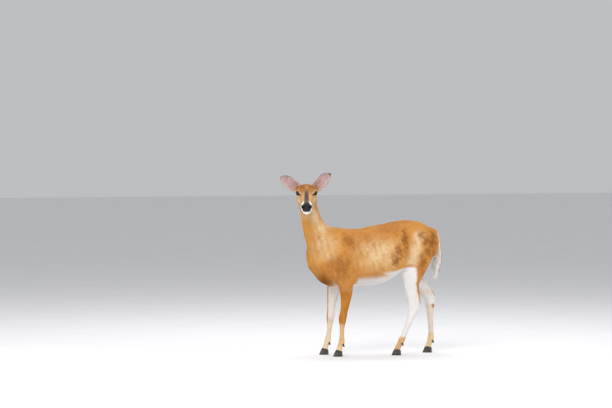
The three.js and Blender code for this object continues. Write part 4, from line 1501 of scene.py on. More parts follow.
@dataclass
class Coat:
    """Short tufts over the skin, each a slim spindle that leaves the skin and lies back along it."""

    skin: Skin
    seed: int = 11
    limit: int = 33000  # tufts in a piece
    face_spacing: float = 1.62  # from tuft to tuft where the coat is short
    body_spacing: float = 3.15  # where it is long
    ear_spacing: float = 3.0  # inside the ears
    jitter: float = 0.16
    crest: float = 0.8  # how high a tuft's middle stands, as a share of its height
    tip: float = 0.42  # how high its tip lies
    tail_tip: float = 0.85  # the same on the tail
    middle: float = 0.4  # where along a tuft its middle lies
    most_lift: float = 6.0  # the most that a tip is moved to follow the skin
    thickness: float = 0.1  # of a tuft, as a share of its width
    sink: float = 0.9  # how deep its root lies in the skin
    soft: float = 0.35  # how far its shading turns to its sides

    def sow(self) -> Roots:
        """Scatters roots over the skin, closer together where the coat is short."""
        rng = np.random.default_rng(self.seed)
        skin, near = self.skin, self.skin.near
        quads = skin.corners
        faces = np.vstack([quads[:, :3], quads[:, (0, 2, 3)]])
        a, b, c = (near.points[faces[:, k]] for k in range(3))
        area = norms(np.cross(b - a, c - a)) / 2
        depth = ANATOMY.coat_depth(near.points)
        ear, inside = np.zeros(len(depth)), np.zeros(len(depth))
        for side in Side:
            on = ramp(5, 2, near.ear_gap[side]) * (near.ear_own[side][:, 0] > -4)
            ear = np.maximum(ear, on)
            inside = np.maximum(inside, near.ear_inside(side) * on)
        depth = np.where(ear > 0.5, 1.4, depth)
        for side in Side:
            _, gap, close = FACE.round_eye(near.head, side, 40, 8)
            depth = np.where(close, depth * (0.42 + 0.58 * ramp(3, 14, gap)), depth)
        wider = (self.body_spacing - self.face_spacing) * ramp(1.0, 2.3, depth)
        spacing = np.where(inside > 0.5, self.ear_spacing, self.face_spacing + wider)
        thin = 1 - skin.bare()
        each = (thin / spacing**2)[faces].mean(axis=1) * area
        count = np.floor(each + rng.random(len(each))).astype(int)
        face = np.repeat(np.arange(len(faces)), count)
        u, v = rng.random((2, len(face)))
        over = u + v > 1
        u, v = np.where(over, 1 - u, u), np.where(over, 1 - v, v)
        weights = columns(1 - u - v, u, v)

        def at(values: Array) -> Array:
            """A vertex value at the roots."""
            picked = values[faces[face]]
            return (picked * (weights if picked.ndim == 2 else weights[:, :, None])).sum(axis=1)

        return Roots(
            points=at(near.points),
            normals=unit(at(near.normals)),
            ways=unit(at(skin.ways)),
            shares=at(skin.shares),
            depth=at(depth),
            steep=at(skin.steep),
            ear=at(ear),
            ear_inside=at(inside),
            ear_share=at(near.ear_share()),
            tail=at(near.on_tail(8, 3)),
            head=at(near.on_head),
            neck=at(near.on_neck),
        )

    @staticmethod
    def region_of(roots: Roots) -> dict[Region, Array]:
        """Which roots belong to each piece."""
        x, _, z = roots.points.T
        ear, tail = roots.ear > 0.5, roots.tail > 0.5
        head = (roots.head > 0.5) & ~ear
        rest = ~(ear | tail | head)
        neck = rest & (roots.neck > 0.5)
        leg = rest & ~neck & (z < 425)
        trunk = rest & ~neck & ~leg
        return {
            Region.FOREQUARTERS: trunk & (x < -150),
            Region.BARREL: trunk & (x >= -150) & (x < 130),
            Region.HINDQUARTERS: trunk & (x >= 130),
            Region.NECK: neck,
            Region.HEAD: head,
            Region.FORELEGS: leg & (x < -50),
            Region.HINDLEGS: leg & (x >= -50),
            Region.TAIL: tail,
            Region.EARS: ear,
        }

    def build(self) -> list[Piece]:
        """Makes every piece of the coat."""
        roots = self.sow()
        pieces = []
        for number, (region, which) in enumerate(self.region_of(roots).items()):
            rng = np.random.default_rng(self.seed + 100 + number)
            chosen = np.flatnonzero(which)
            if len(chosen) > self.limit:
                chosen = np.sort(rng.permutation(chosen)[: self.limit])
            piece = self.comb(region, roots.take(chosen), rng)
            log.info("%s: %d tufts", piece.name, len(chosen))
            pieces.append(piece)
        return pieces

    @staticmethod
    def sizes(region: Region, r: Roots, rng: np.random.Generator) -> tuple[Array, Array, Array]:
        """How long and wide each tuft is, and how high it rises."""
        count = len(r.points)
        reach = 3.6 if region is Region.HEAD else 5.4
        length = (1.8 + reach * r.depth) * rng.uniform(0.75, 1.2, count)
        width = (0.5 + 0.62 * r.depth) * rng.uniform(0.75, 1.2, count)
        height = r.depth * rng.uniform(0.35, 0.95, count)
        if region is Region.TAIL:
            share = np.clip((TAIL_TOP - r.points[:, 2]) / TAIL_HANG, 0, 1)
            length = (16 + 26 * share) * rng.uniform(0.8, 1.15, count)
            width = rng.uniform(1.8, 2.6, count)
            full = bump_at(share, 0.74, 0.42) * rng.random(count)
            fringe = 7.0 + 16.0 * ramp(0.2, -0.4, r.normals[:, 0])
            height = rng.uniform(2.5, 6.0, count) + full * fringe
        if region is Region.EARS:
            inner = r.ear_inside > 0.5
            short = ramp(1.0, 0.6, r.ear_share)
            length = np.where(inner, rng.uniform(7, 15, count) * (0.3 + 0.7 * short), 2.6 + 3.4 * short)
            width = np.where(inner, rng.uniform(0.7, 1.0, count), 1.3)
            height = np.where(inner, rng.uniform(1.2, 3.4, count), 0.8)
        return length, width, height

    def comb(self, region: Region, r: Roots, rng: np.random.Generator) -> Piece:
        """Makes one piece's tufts.

        Args:
            region: the piece.
            r: its roots.
            rng: where its chances come from.

        Returns:
            The piece.
        """
        count = len(r.points)
        n, f = r.normals, r.ways
        s = np.cross(n, f)
        swirl = 0.22 * ripple(r.points, 70, 8) + rng.normal(0, self.jitter, count)
        f = unit(f + s * swirl[:, None])
        s = np.cross(n, f)
        length, width, height = self.sizes(region, r, rng)
        high, low = self.crest * height, (self.tail_tip if region is Region.TAIL else self.tip) * height
        middle = r.points + f * (self.middle * length)[:, None] + n * high[:, None]
        tip = r.points + f * length[:, None] + n * low[:, None]
        if region is not Region.EARS:
            most = self.most_lift
            middle += n * (high - ANATOMY.skin(middle) / r.steep)[:, None].clip(-most / 2, most / 2)
            tip += n * (low - ANATOMY.skin(tip) / r.steep)[:, None].clip(-most, most)
        half, thick = width[:, None] / 2, (self.thickness * width + 0.08)[:, None]
        root, under, over = r.points - n * self.sink, middle - n * thick, middle + n * thick
        vertices = columns(root, under - s * half, under + s * half, over, tip)
        sideways = s * self.soft
        shade = columns(n - f * 0.2, n - sideways, n + sideways, n, n + f * 0.25)
        pattern = np.array([(0, 2, 1), (0, 3, 2), (0, 1, 3), (4, 1, 2), (4, 2, 3), (4, 3, 1)])
        faces = (pattern[None] + 5 * np.arange(count)[:, None, None]).reshape(-1, 3)
        piece = add_triangles(region.value[0], vertices.reshape(-1, 3), faces)
        if region in (Region.TAIL, Region.EARS):
            piece.data.shade_flat()
        else:
            normals = unit(shade).reshape(-1, 3).astype(np.float32)
            piece.data.normals_split_custom_set_from_vertices(normals)
        self.label(piece.data, region, r, rng)
        return piece

    def label(self, mesh: bpy.types.Mesh, region: Region, r: Roots, rng: np.random.Generator) -> None:
        """Stores the tufts' colours and their places on the unwrapped skin."""
        count = len(r.points)
        set_marks(mesh, np.repeat(r.shares, 5, axis=0))
        tone = np.repeat(rng.random(count), 5)
        along = np.tile([0.0, 0.5, 0.5, 0.55, 1.0], count)
        set_numbers(mesh, "fibre", columns(tone, along, np.zeros(5 * count)))
        across = np.array([(0, -1), (-1, 0), (1, 0), (0, 0), (0, 1)]) * 0.0015
        place = self.unwrap(region, r)[:, None, :] + across[None]
        corners = np.empty(len(mesh.loops), np.int32)
        mesh.loops.foreach_get("vertex_index", corners)
        layer = mesh.uv_layers.new(name="OFBake")
        layer.data.foreach_set("uv", place.reshape(-1, 2)[corners].astype(np.float32).ravel())

    @staticmethod
    def unwrap(region: Region, r: Roots) -> Array:
        """Where roots lie on an unwrap of their own part of the skin, within a unit square."""
        p = r.points
        x, y, z = p.T

        def turn(a: Array, b: Array) -> Array:
            """An angle as a share of a whole turn."""
            return np.arctan2(a, b) / (2 * math.pi) + 0.5

        if region in (Region.FOREQUARTERS, Region.BARREL, Region.HINDQUARTERS):
            u, v = x, turn(y, z - 640)
        elif region is Region.NECK:
            axis = np.interp(z, [570, 715, 835, 990], [-300, -358, -408, -440])
            u, v = z, turn(y, x - axis)
        elif region is Region.HEAD:
            h = HEAD_PLACE.local(p)
            u, v = h[:, 0], turn(h[:, 1], -h[:, 2])
        elif region in (Region.FORELEGS, Region.HINDLEGS):
            end = "fore" if region is Region.FORELEGS else "hind"
            u, v = z, np.zeros(len(p))
            for k, leg in enumerate(leg for leg in Leg if leg.end == end):
                line = ANATOMY.legs[leg].fine[::-1]
                centre = np.interp(z, line[:, 2], line[:, 0])
                mine = np.sign(y) == leg.side.value
                v = np.where(mine, 0.5 * k + 0.49 * turn(y - leg.y, x - centre), v)
        elif region is Region.TAIL:
            u, v = z, turn(y, x - 402)
        else:
            u, v = np.zeros(len(p)), np.zeros(len(p))
            for k, ear in enumerate(ANATOMY.ears):
                own = ear.local(p)
                mine = np.sign(HEAD_PLACE.local(p)[:, 1]) == ear.side.value
                spread = np.clip(own[:, 2] / ear.size.width + 0.5, 0, 1) * 0.24
                v = np.where(mine, 0.5 * k + 0.25 * (r.ear_inside > 0.5) + spread, v)
                u = np.where(mine, own[:, 0], u)
        low, high = u.min(), u.max()
        return columns(0.01 + 0.98 * (u - low) / (high - low), 0.01 + 0.98 * v)


# ---- Shader maths and finishes ----


def colour(red: int, green: int, blue: int) -> tuple[float, float, float, float]:
    """A screen colour from 0 to 255 as the linear light that shaders take."""
    linear = [((c / 255 + 0.055) / 1.055) ** 2.4 if c > 10 else c / 255 / 12.92 for c in (red, green, blue)]
    return (linear[0], linear[1], linear[2], 1.0)


class Term:
    """A number that varies over a surface: arithmetic on it adds Math nodes."""

    def __init__(self, graph: "Graph", socket: Socket) -> None:
        """Wraps an output socket of a graph."""
        self.graph = graph
        self.socket = socket

    def join(self, operation: str, a: object, b: object, clamp: bool = False) -> "Term":
        """A Math node on two values."""
        node = self.graph.add("ShaderNodeMath", {"operation": operation, "use_clamp": clamp}, {0: a, 1: b})
        return Term(self.graph, node.outputs[0])

    def __add__(self, other: object) -> "Term":
        """self + other."""
        return self.join("ADD", self, other)

    __radd__ = __add__

    def __rsub__(self, other: object) -> "Term":
        """other - self."""
        return self.join("SUBTRACT", other, self)

    def __mul__(self, other: object) -> "Term":
        """self * other."""
        return self.join("MULTIPLY", self, other)

    __rmul__ = __mul__

    def __pow__(self, other: float) -> "Term":
        """self to the power of other."""
        return self.join("POWER", self, other)

    def clamped(self) -> "Term":
        """self held between 0 and 1."""
        return self.join("ADD", self, 0.0, clamp=True)

    def rise(self, low: float, high: float) -> "Term":
        """0 below low and 1 above high, smooth between them."""
        values = {"Value": self, "From Min": low, "From Max": high}
        node = self.graph.add("ShaderNodeMapRange", {"interpolation_type": "SMOOTHSTEP"}, values)
        return Term(self.graph, node.outputs[0])


class Graph:
    """A material's nodes."""

    def __init__(self, name: str) -> None:
        """Makes a material with a Principled shader."""
        self.material = bpy.data.materials.new(name)
        self.material.use_nodes = True
        self.tree = self.material.node_tree
        self.shader = self.tree.nodes["Principled BSDF"]

    def add(self, kind: str, settings: dict[str, object], values: dict[object, object]) -> bpy.types.Node:
        """Adds a node.

        Args:
            kind: the node's type.
            settings: its own settings, which are set first.
            values: a number, a colour or a link for each input, by name or place.

        Returns:
            The node.
        """
        node = self.tree.nodes.new(kind)
        for name, value in settings.items():
            setattr(node, name, value)
        for name, value in values.items():
            self.feed(node.inputs[name], value)
        return node

    def feed(self, socket: Socket, value: object) -> None:
        """Sets an input, or links something to it."""
        if isinstance(value, Term):
            self.tree.links.new(value.socket, socket)
        elif isinstance(value, Socket):
            self.tree.links.new(value, socket)
        else:
            socket.default_value = value

    def numbers(self, name: str) -> list[Term]:
        """The three parts of a vector stored on the mesh."""
        stored = self.add("ShaderNodeAttribute", {"attribute_name": name}, {})
        split = self.add("ShaderNodeSeparateXYZ", {}, {0: stored.outputs["Vector"]})
        return [Term(self, split.outputs[k]) for k in range(3)]

    def place(self) -> Socket:
        """The object's own coordinates."""
        return self.add("ShaderNodeTexCoord", {}, {}).outputs["Object"]

    def stretched(self, scale: Sequence[float]) -> Socket:
        """The object's own coordinates, scaled."""
        values = {0: self.place(), 1: tuple(scale)}
        return self.add("ShaderNodeVectorMath", {"operation": "MULTIPLY"}, values).outputs[0]

    def noise(
        self, scale: float, detail: float = 3.0, vector: Optional[Socket] = None
    ) -> Term:
        """A cloudy unevenness from 0 to 1."""
        vector = vector or self.place()
        node = self.add("ShaderNodeTexNoise", {}, {"Vector": vector, "Scale": scale, "Detail": detail})
        return Term(self, node.outputs[0])

    def cells(self, scale: float) -> Term:
        """The distance to the middle of the nearest cell."""
        node = self.add("ShaderNodeTexVoronoi", {}, {"Vector": self.place(), "Scale": scale})
        return Term(self, node.outputs["Distance"])

    def mix(self, share: object, a: object, b: object, blend_type: str = "MIX") -> Socket:
        """Colour a with a share of colour b."""
        settings = {"data_type": "RGBA", "blend_type": blend_type}
        node = self.add("ShaderNodeMix", settings, {"Factor": share})
        self.feed(node.inputs[6], a)
        self.feed(node.inputs[7], b)
        return node.outputs[2]

    def bump(self, height: Term, strength: float, distance: float) -> Socket:
        """A normal that follows a height."""
        values = {"Height": height, "Strength": strength, "Distance": distance}
        return self.add("ShaderNodeBump", {}, values).outputs["Normal"]

    def finish(self, links: dict[str, object], constants: dict[str, object]) -> Material:
        """Sets the shader: what varies, and what is the same all over."""
        for name, value in {**constants, **links}.items():
            self.feed(self.shader.inputs[name], value)
        return self.material


@dataclass(frozen=True)
class CoatFinish:
    """Deer's hair and skin: a russet ground with the markings laid over it."""

    russet: tuple = colour(217, 148, 56)
    russet_deep: tuple = colour(195, 121, 36)
    pale: tuple = colour(243, 212, 164)
    dark: tuple = colour(148, 84, 24)
    white: tuple = colour(247, 244, 240)
    pink: tuple = colour(220, 188, 188)
    grey: tuple = colour(80, 73, 84)
    black: tuple = colour(14, 13, 18)

    def ground(self, g: Graph) -> Socket:
        """The colour of the coat with its markings."""
        ground = g.mix(g.noise(7.0, 4.0).rise(0.35, 0.7), self.russet, self.russet_deep)
        over = (self.pale, self.dark, self.white, self.pink, self.grey, self.black)
        for share, tint in zip(g.numbers("marks_a") + g.numbers("marks_b"), over):
            ground = g.mix(share.clamped(), ground, tint)
        return ground

    def hair(self, name: str) -> Material:
        """Tufts: each has its own tone, darker towards its root."""
        g = Graph(name)
        tone, along, _ = g.numbers("fibre")
        light = 0.74 + 0.3 * tone + 0.16 * along
        base = g.mix(1.0, self.ground(g), light.socket, "MULTIPLY")
        rough = 0.58 + 0.14 * tone
        constants = {"Specular IOR Level": 0.2}
        return g.finish({"Base Color": base, "Roughness": rough}, constants)

    def skin(self) -> Material:
        """The skin: short hair as grain, and the wet leather of the nose."""
        g = Graph("skin")
        _, _, wet = g.numbers("fibre")
        grain = g.noise(520.0, 3.0)
        pebbles = g.cells(520.0)
        light = 0.74 + 0.3 * grain
        base = g.mix(1.0, self.ground(g), light.socket, "MULTIPLY")
        rough = 0.72 - 0.46 * wet + 0.1 * pebbles * wet
        height = grain * (1 - wet) * 0.6 + pebbles * wet
        normal = g.bump(height, 0.5, 0.0008)
        links = {"Base Color": base, "Roughness": rough, "Normal": normal, "Coat Weight": wet * 0.22}
        return g.finish(links, {"Specular IOR Level": 0.3, "Coat Roughness": 0.15})


@dataclass(frozen=True)
class HornFinish:
    """The dark horn of the hooves, with growth rings and a paler edge."""

    deep: tuple = colour(46, 40, 38)
    worn: tuple = colour(112, 98, 84)

    def material(self) -> Material:
        """Makes the finish."""
        g = Graph("hoof")
        rings = g.noise(60.0, 3.0, g.stretched((0.4, 0.4, 5.0)))
        streaks = g.noise(240.0, 4.0, g.stretched((1.0, 1.0, 0.12)))
        wear = 0.65 * rings.rise(0.4, 0.75) + 0.3 * streaks.rise(0.5, 0.8)
        base = g.mix(wear.clamped(), self.deep, self.worn)
        rough = 0.34 + 0.3 * streaks
        normal = g.bump(rings + streaks * 0.4, 0.5, 0.0012)
        links = {"Base Color": base, "Roughness": rough, "Normal": normal}
        return g.finish(links, {"Specular IOR Level": 0.5})


@dataclass(frozen=True)
class EyeFinish:
    """A dark brown iris with a long pupil, under a wet cornea."""

    iris: tuple = colour(44, 28, 20)
    iris_deep: tuple = colour(22, 14, 12)
    pupil: tuple = colour(8, 8, 12)
    rim: tuple = colour(34, 26, 24)

    def material(self) -> Material:
        """Makes the finish."""
        g = Graph("eye")
        along, up, _ = g.numbers("gaze")
        spread = (along * along + up * up) ** 0.5
        slot = (along * along * 4.6 + up * up * 19.0) ** 0.5
        fibres = g.noise(900.0, 3.0)
        iris = g.mix(fibres.rise(0.35, 0.7), self.iris_deep, self.iris)
        iris = g.mix(spread.rise(0.66, 0.8), iris, self.rim)
        base = g.mix(1 - slot.rise(0.8, 1.0), iris, self.pupil)
        rough = 0.12 + 0.1 * fibres
        constants = {"Coat Roughness": 0.03, "Coat Weight": 0.4, "Specular IOR Level": 0.1}
        return g.finish({"Base Color": base, "Roughness": rough}, constants)


@dataclass(frozen=True)
class LashFinish:
    """Stiff dark hairs."""

    dark: tuple = colour(22, 18, 18)
    tip: tuple = colour(96, 80, 68)

    def material(self) -> Material:
        """Makes the finish."""
        g = Graph("lash")
        _, along, _ = g.numbers("fibre")
        base = g.mix(along, self.dark, self.tip)
        return g.finish({"Base Color": base}, {"Roughness": 0.5})


# ---- Eyes, lashes, whiskers and hooves ----


@dataclass
class Eyeball:
    """One eye: a ball with a clear bulge at its front."""

    side: Side
    size: EyeSize = EYE
    bulge: float = 0.9
    rings: int = 40
    turns: int = 56

    def build(self, finish: Material) -> Piece:
        """Makes the ball and dresses it."""
        polar = np.linspace(0, math.pi, self.rings + 1)[1:-1]
        around = np.linspace(0, 2 * math.pi, self.turns, endpoint=False)
        reach = self.size.radius + self.bulge * ridge_at(polar, 0, 0.62)
        girth = columns(np.sin(polar), np.sin(polar), np.cos(polar)) * reach[:, None]
        circle = columns(np.cos(around), np.sin(around), np.ones(self.turns))
        own = (girth[:, None] * circle[None]).reshape(-1, 3)
        ends = np.array([[0, 0, self.size.radius + self.bulge], [0, 0, -self.size.radius]])
        own = np.vstack([own, ends])
        axes = self.size.axes(self.side)
        faces = tube_faces(self.rings - 1, self.turns, 0, (len(own) - 2, len(own) - 1))
        if np.linalg.det(axes) < 0:
            faces = [face[::-1] for face in faces]
        points = HEAD_PLACE.world(own @ axes + self.size.centre(self.side))
        name = "eye_" + self.side.name.lower()
        piece = add_mesh("eyeball_" + self.side.name.lower(), points, faces, [name])
        set_numbers(piece.data, "gaze", own / self.size.radius)
        piece.data.materials.append(finish)
        return piece


def spikes(
    name: str, roots: Array, ways: Array, lifts: Array, lengths: Array, width: float
) -> Piece:
    """Stiff curved hairs.

    Args:
        name: the piece's name.
        roots: where they grow, in drawing coordinates.
        ways: the way each sets out.
        lifts: the way each bends towards.
        lengths: how long each is.
        width: how thick they are at the middle.

    Returns:
        The piece.
    """
    ways, count = unit(ways), len(roots)
    a = unit(np.cross(ways, np.array([0.31, 0.17, 0.93])))
    b = np.cross(ways, a)
    shares, girths = (0.35, 0.7), (1.0, 0.7)
    rows = [roots - ways * 1.2]
    for share, girth in zip(shares, girths):
        spine = roots + ways * (lengths * share)[:, None] + lifts * (lengths * share**2)[:, None]
        for k in range(3):
            angle = 2 * math.pi * k / 3
            rows.append(spine + (a * math.cos(angle) + b * math.sin(angle)) * width * girth / 2)
    rows.append(roots + ways * lengths[:, None] + lifts * lengths[:, None])
    vertices = np.stack(rows, axis=1)
    pattern = []
    for k in range(3):
        u = (k + 1) % 3
        pattern += [(0, 1 + u, 1 + k), (1 + k, 1 + u, 4 + u), (1 + k, 4 + u, 4 + k), (7, 4 + k, 4 + u)]
    faces = (np.array(pattern)[None] + 8 * np.arange(count)[:, None, None]).reshape(-1, 3)
    piece = add_triangles(name, vertices.reshape(-1, 3), faces)
    along = np.tile([0, 0.35, 0.35, 0.35, 0.7, 0.7, 0.7, 1.0], count)
    set_numbers(piece.data, "fibre", columns(along * 0, along, along * 0))
    return piece


@dataclass
class FaceHairs:
    """The lashes of both eyes and the whiskers."""

    seed: int = 5
    lashes: int = 30
    lash: float = 6.5
    whiskers: int = 18
    whisker: float = 24.0

    def build(self, skin: Skin, finish: Material) -> list[Piece]:
        """Makes the lashes and the whiskers."""
        pieces = [self.eye(side, finish) for side in Side]
        pieces.append(self.muzzle(skin, finish))
        return pieces

    def eye(self, side: Side, finish: Material) -> Piece:
        """The lashes of an upper lid."""
        rng = np.random.default_rng(self.seed + side.value)
        t = np.linspace(-0.86, 0.9, self.lashes) + rng.normal(0, 0.01, self.lashes)
        along = t * EYE.half_length
        up = EYE.upper * FACE.almond(t) + 0.9
        out = np.sqrt(np.maximum((EYE.radius + 1.6) ** 2 - along**2 - up**2, 1))
        own = columns(along, up, out)
        way = columns(0.35 * t, 0.25 + 0 * t, 1 + 0 * t) + rng.normal(0, 0.06, (self.lashes, 3))
        lift = columns(0.2 * t, -0.28 + 0 * t, 0 * t)
        axes = EYE.axes(side)
        roots = HEAD_PLACE.world(own @ axes + EYE.centre(side))
        ways, lifts = (HEAD_PLACE.direction(v @ axes) for v in (unit(way), lift))
        lengths = self.lash * (0.7 + 0.4 * np.cos(t * 1.2)) * rng.uniform(0.85, 1.1, self.lashes)
        piece = spikes("lashes_" + side.name.lower(), roots, ways, lifts, lengths, 0.55)
        piece.data.materials.append(finish)
        return piece

    def muzzle(self, skin: Skin, finish: Material) -> Piece:
        """Whiskers on the lips and the chin."""
        rng = np.random.default_rng(self.seed + 10)
        h, near = skin.near.head, skin.near
        lip = (h[:, 0] > 20) & (h[:, 0] < 62) & (h[:, 2] < -8) & (h[:, 2] > -58) & (near.on_head > 0.9)
        lip &= np.abs(h[:, 2] - FACE.mouth_height(h[:, 0])) > 3
        chosen = rng.choice(np.flatnonzero(lip), self.whiskers, replace=False)
        roots, out = near.points[chosen], near.normals[chosen]
        ways = out + 0.45 * skin.ways[chosen] + rng.normal(0, 0.12, (self.whiskers, 3))
        lifts = np.array([0.0, 0.0, -0.22]) + 0.15 * skin.ways[chosen]
        lengths = self.whisker * rng.uniform(0.5, 1.0, self.whiskers)
        piece = spikes("whiskers", roots, ways, lifts, lengths, 0.32)
        piece.data.materials.append(finish)
        return piece


def foot_piece(leg: Leg, kind: str, outer: bool) -> str:
    """The name of the frame's node for a claw or a dewclaw."""
    return f"{leg.name.lower()}_{kind}_{'outer' if outer else 'inner'}"


@dataclass
class Claw:
    """Half of a cloven hoof: a curved outer wall, a flat inner wall and a rounded edge below."""

    leg: Leg
    outer: bool
    behind: float = 2.0
    toe: float = 38.0
    heel: float = 20.0
    width: float = 21.0
    split: float = 1.4
    height: float = 38.0
    slope: float = 0.3
    top_toe: float = 17.0
    top_heel: float = 18.0
    top_width: float = 19.0
    # The outline from heel to toe and back, in shares of the heel, the toe and the width.
    outline: tuple[tuple[float, float], ...] = (
        (1.0, 0.02),
        (1.08, 0.45),
        (0.5, 0.95),
        (-0.2, 1.0),
        (-0.6, 0.8),
        (-0.88, 0.4),
        (-1.0, 0.08),
    )
    levels: int = 22
    steps: int = 7

    def rim(self, toe: float, heel: float, width: float) -> Array:
        """The closed outline for given sizes."""
        rows = [(a * (heel if a > 0 else toe), b * width) for a, b in self.outline]
        curve = smooth_rows(rows, self.steps, np.arange(len(rows)))
        back = np.linspace(curve[-1], curve[0], 14)[1:-1]
        back[:, 1] = 0.0
        return np.vstack([curve, back])

    def build(self, finish: Material) -> Piece:
        """Makes the claw and dresses it."""
        x0 = LEG_LINES[self.leg][-1][0] + self.behind
        away = self.leg.side.value * (1 if self.outer else -1)
        low = np.array([self.toe, self.heel, self.width])
        high = np.array([self.top_toe, self.top_heel, self.top_width])
        rings = []
        for k, v in enumerate(np.linspace(0, 1, self.levels)):
            ring = self.rim(*(low + (high - low) * v))
            inset = {0: 0.06, 1: 0.015}.get(k, 0.0) + 0.05 * (k == self.levels - 1)
            wave = 0.006 * math.sin(v * 26.0) + 0.004 * math.sin(v * 61.0)
            middle = ring.mean(axis=0)
            ring = middle + (ring - middle) * (1 - inset + wave)
            ring[:, 1] = np.maximum(ring[:, 1], 0)
            z = v * (self.height - self.slope * ring[:, 0]) * (0.999 if v < 1 else 1)
            y = self.leg.y + away * (ring[:, 1] + self.split)
            rings.append(columns(x0 + ring[:, 0], y, z))
        points = np.vstack(rings + [rings[0].mean(axis=0), rings[-1].mean(axis=0)])
        faces = tube_faces(self.levels, len(rings[0]), 0, (len(points) - 2, len(points) - 1))
        if away > 0:
            faces = [face[::-1] for face in faces]
        name = foot_piece(self.leg, "claw", self.outer)
        piece = add_mesh("hoof_" + name, points, faces, [name])
        piece.data.materials.append(finish)
        return piece


@dataclass
class Dewclaw:
    """A small blunt horn behind the fetlock, curved down and back."""

    leg: Leg
    outer: bool
    length: float = 25.0
    radius: float = 6.6
    apart: float = 12.0
    level: float = 70.0
    behind: float = 17.0
    lean: float = -28.0
    bend: float = 2.2  # how far its tip lies behind its root
    rings: int = 12
    turns: int = 20

    def build(self, finish: Material) -> Piece:
        """Makes the dewclaw and dresses it."""
        x0 = LEG_LINES[self.leg][-2][0] + self.behind
        y0 = self.leg.y + self.leg.side.value * (self.apart if self.outer else -self.apart)
        place = Place((x0, y0, self.level), (0.0, self.lean, 0.0))
        t = np.linspace(-1, 1, self.rings)
        girth = np.clip(1 - np.abs(t) ** 2.6, 0, 1) ** 0.5 * (1 + 0.2 * t)
        around = np.linspace(0, 2 * math.pi, self.turns, endpoint=False)
        rows = [np.array([[0.0, 0.0, self.length / 2]])]
        for level, share in zip(t[::-1][1:-1], girth[::-1][1:-1]):
            radius = self.radius * share * (1 + 0.03 * math.sin(level * 21))
            x = radius * np.cos(around) + self.bend * (1 - level) ** 2 / 4
            y = radius * 0.9 * np.sin(around)
            rows.append(columns(x, y, np.full(self.turns, level * self.length / 2)))
        rows.append(np.array([[self.bend, 0.0, -self.length / 2]]))
        points = place.world(np.vstack(rows))
        faces = tube_faces(self.rings - 2, self.turns, 1, (0, len(points) - 1))
        name = foot_piece(self.leg, "dewclaw", self.outer)
        piece = add_mesh("horn_" + name, points, faces, [name])
        piece.data.materials.append(finish)
        return piece


# ---- The stage, and everything in order ----


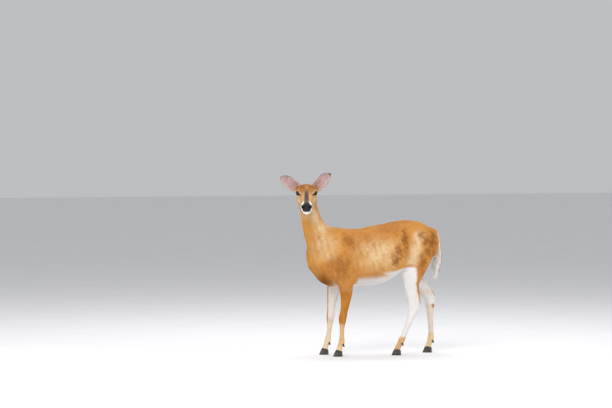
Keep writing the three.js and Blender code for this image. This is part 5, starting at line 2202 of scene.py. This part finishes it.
@dataclass
class Stage:
    """The pale floor, the soft lights and the camera."""

    aim: Triple = (-416.3, 111.6, 943.0)
    azimuth: float = -15.0
    elevation: float = 2.0
    distance: float = 20.0
    width_at_aim: float = 3.825
    sensor: float = 36.0
    floor_size: float = 60.0

    def build(self) -> None:
        """Makes the whole stage."""
        self.camera()
        self.floor()
        self.light("key", (-3.0, -4.5, 4.6), 3.2, 205, (1.0, 0.97, 0.93))
        self.light("fill", (-5.0, 0.5, 1.8), 3.0, 40, (0.95, 0.97, 1.0))
        self.light("side", (4.0, -3.5, 2.6), 3.0, 85, (1.0, 0.98, 0.95))
        self.light("top", (0.5, 1.5, 4.8), 3.5, 110, (1.0, 1.0, 1.0))
        world = bpy.data.worlds.new("studio")
        world.use_nodes = True
        back = world.node_tree.nodes["Background"]
        back.inputs["Color"].default_value = (0.93, 0.94, 0.96, 1)
        back.inputs["Strength"].default_value = 0.55
        bpy.context.scene.world = world
        bpy.context.scene.view_settings.view_transform = "Standard"

    def camera(self) -> None:
        """A long lens at the doe's left, a little in front of it."""
        a, e = math.radians(self.azimuth), math.radians(self.elevation)
        towards = Vector((math.sin(a) * math.cos(e), -math.cos(a) * math.cos(e), math.sin(e)))
        target = Vector(to_frame(np.array(self.aim)))
        data = bpy.data.cameras.new("camera")
        data.sensor_width = self.sensor
        data.lens = self.sensor * self.distance / self.width_at_aim
        data.clip_end = 200
        camera = bpy.data.objects.new("camera", data)
        camera.location = target + towards * self.distance
        camera.rotation_euler = (-towards).to_track_quat("-Z", "Y").to_euler()
        bpy.context.scene.collection.objects.link(camera)
        bpy.context.scene.camera = camera

    def floor(self) -> None:
        """A plain sheet that the doe stands on."""
        half = self.floor_size / 2
        mesh = bpy.data.meshes.new("floor")
        corners = [(-half, -half, 0), (half, -half, 0), (half, half, 0), (-half, half, 0)]
        mesh.from_pydata(corners, [], [(0, 1, 2, 3)])
        floor = bpy.data.objects.new("floor", mesh)
        bpy.context.scene.collection.objects.link(floor)
        g = Graph("floor")
        cloud = g.noise(3.0, 4.0)
        base = g.mix(cloud, colour(244, 244, 246), colour(236, 236, 239))
        mesh.materials.append(g.finish({"Base Color": base}, {"Roughness": 0.8, "Specular IOR Level": 0.2}))

    def light(
        self, name: str, place: Sequence[float], size: float, power: float, tint: Sequence[float]
    ) -> None:
        """A soft square lamp that faces the middle of the doe."""
        data = bpy.data.lights.new(name, "AREA")
        data.size = size
        data.energy = power
        data.color = tint
        lamp = bpy.data.objects.new(name, data)
        lamp.location = Vector(place)
        lamp.rotation_euler = (Vector((0, 0, 0.6)) - Vector(place)).to_track_quat("-Z", "Y").to_euler()
        bpy.context.scene.collection.objects.link(lamp)


def main() -> None:
    """Makes the pieces in order."""
    logging.basicConfig(level=logging.INFO, format="%(message)s")
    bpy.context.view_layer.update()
    finish = CoatFinish()
    flesh = [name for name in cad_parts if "claw" not in name and not name.startswith("eye")]
    skin = Skin()
    piece = skin.build(flesh)
    piece.data.materials.append(finish.skin())
    log.info("skin: %d faces", len(piece.data.polygons))
    hair = finish.hair("coat")
    for piece in Coat(skin).build():
        piece.data.materials.append(hair)
    eye = EyeFinish().material()
    for side in Side:
        log.info("%s", Eyeball(side).build(eye).name)
    lash = LashFinish().material()
    for piece in FaceHairs().build(skin, lash):
        log.info("%s", piece.name)
    horn = HornFinish().material()
    for leg in Leg:
        for outer in (True, False):
            log.info("%s", Claw(leg, outer).build(horn).name)
            log.info("%s", Dewclaw(leg, outer).build(horn).name)
    Stage().build()


if __name__ == "__main__":
    main()
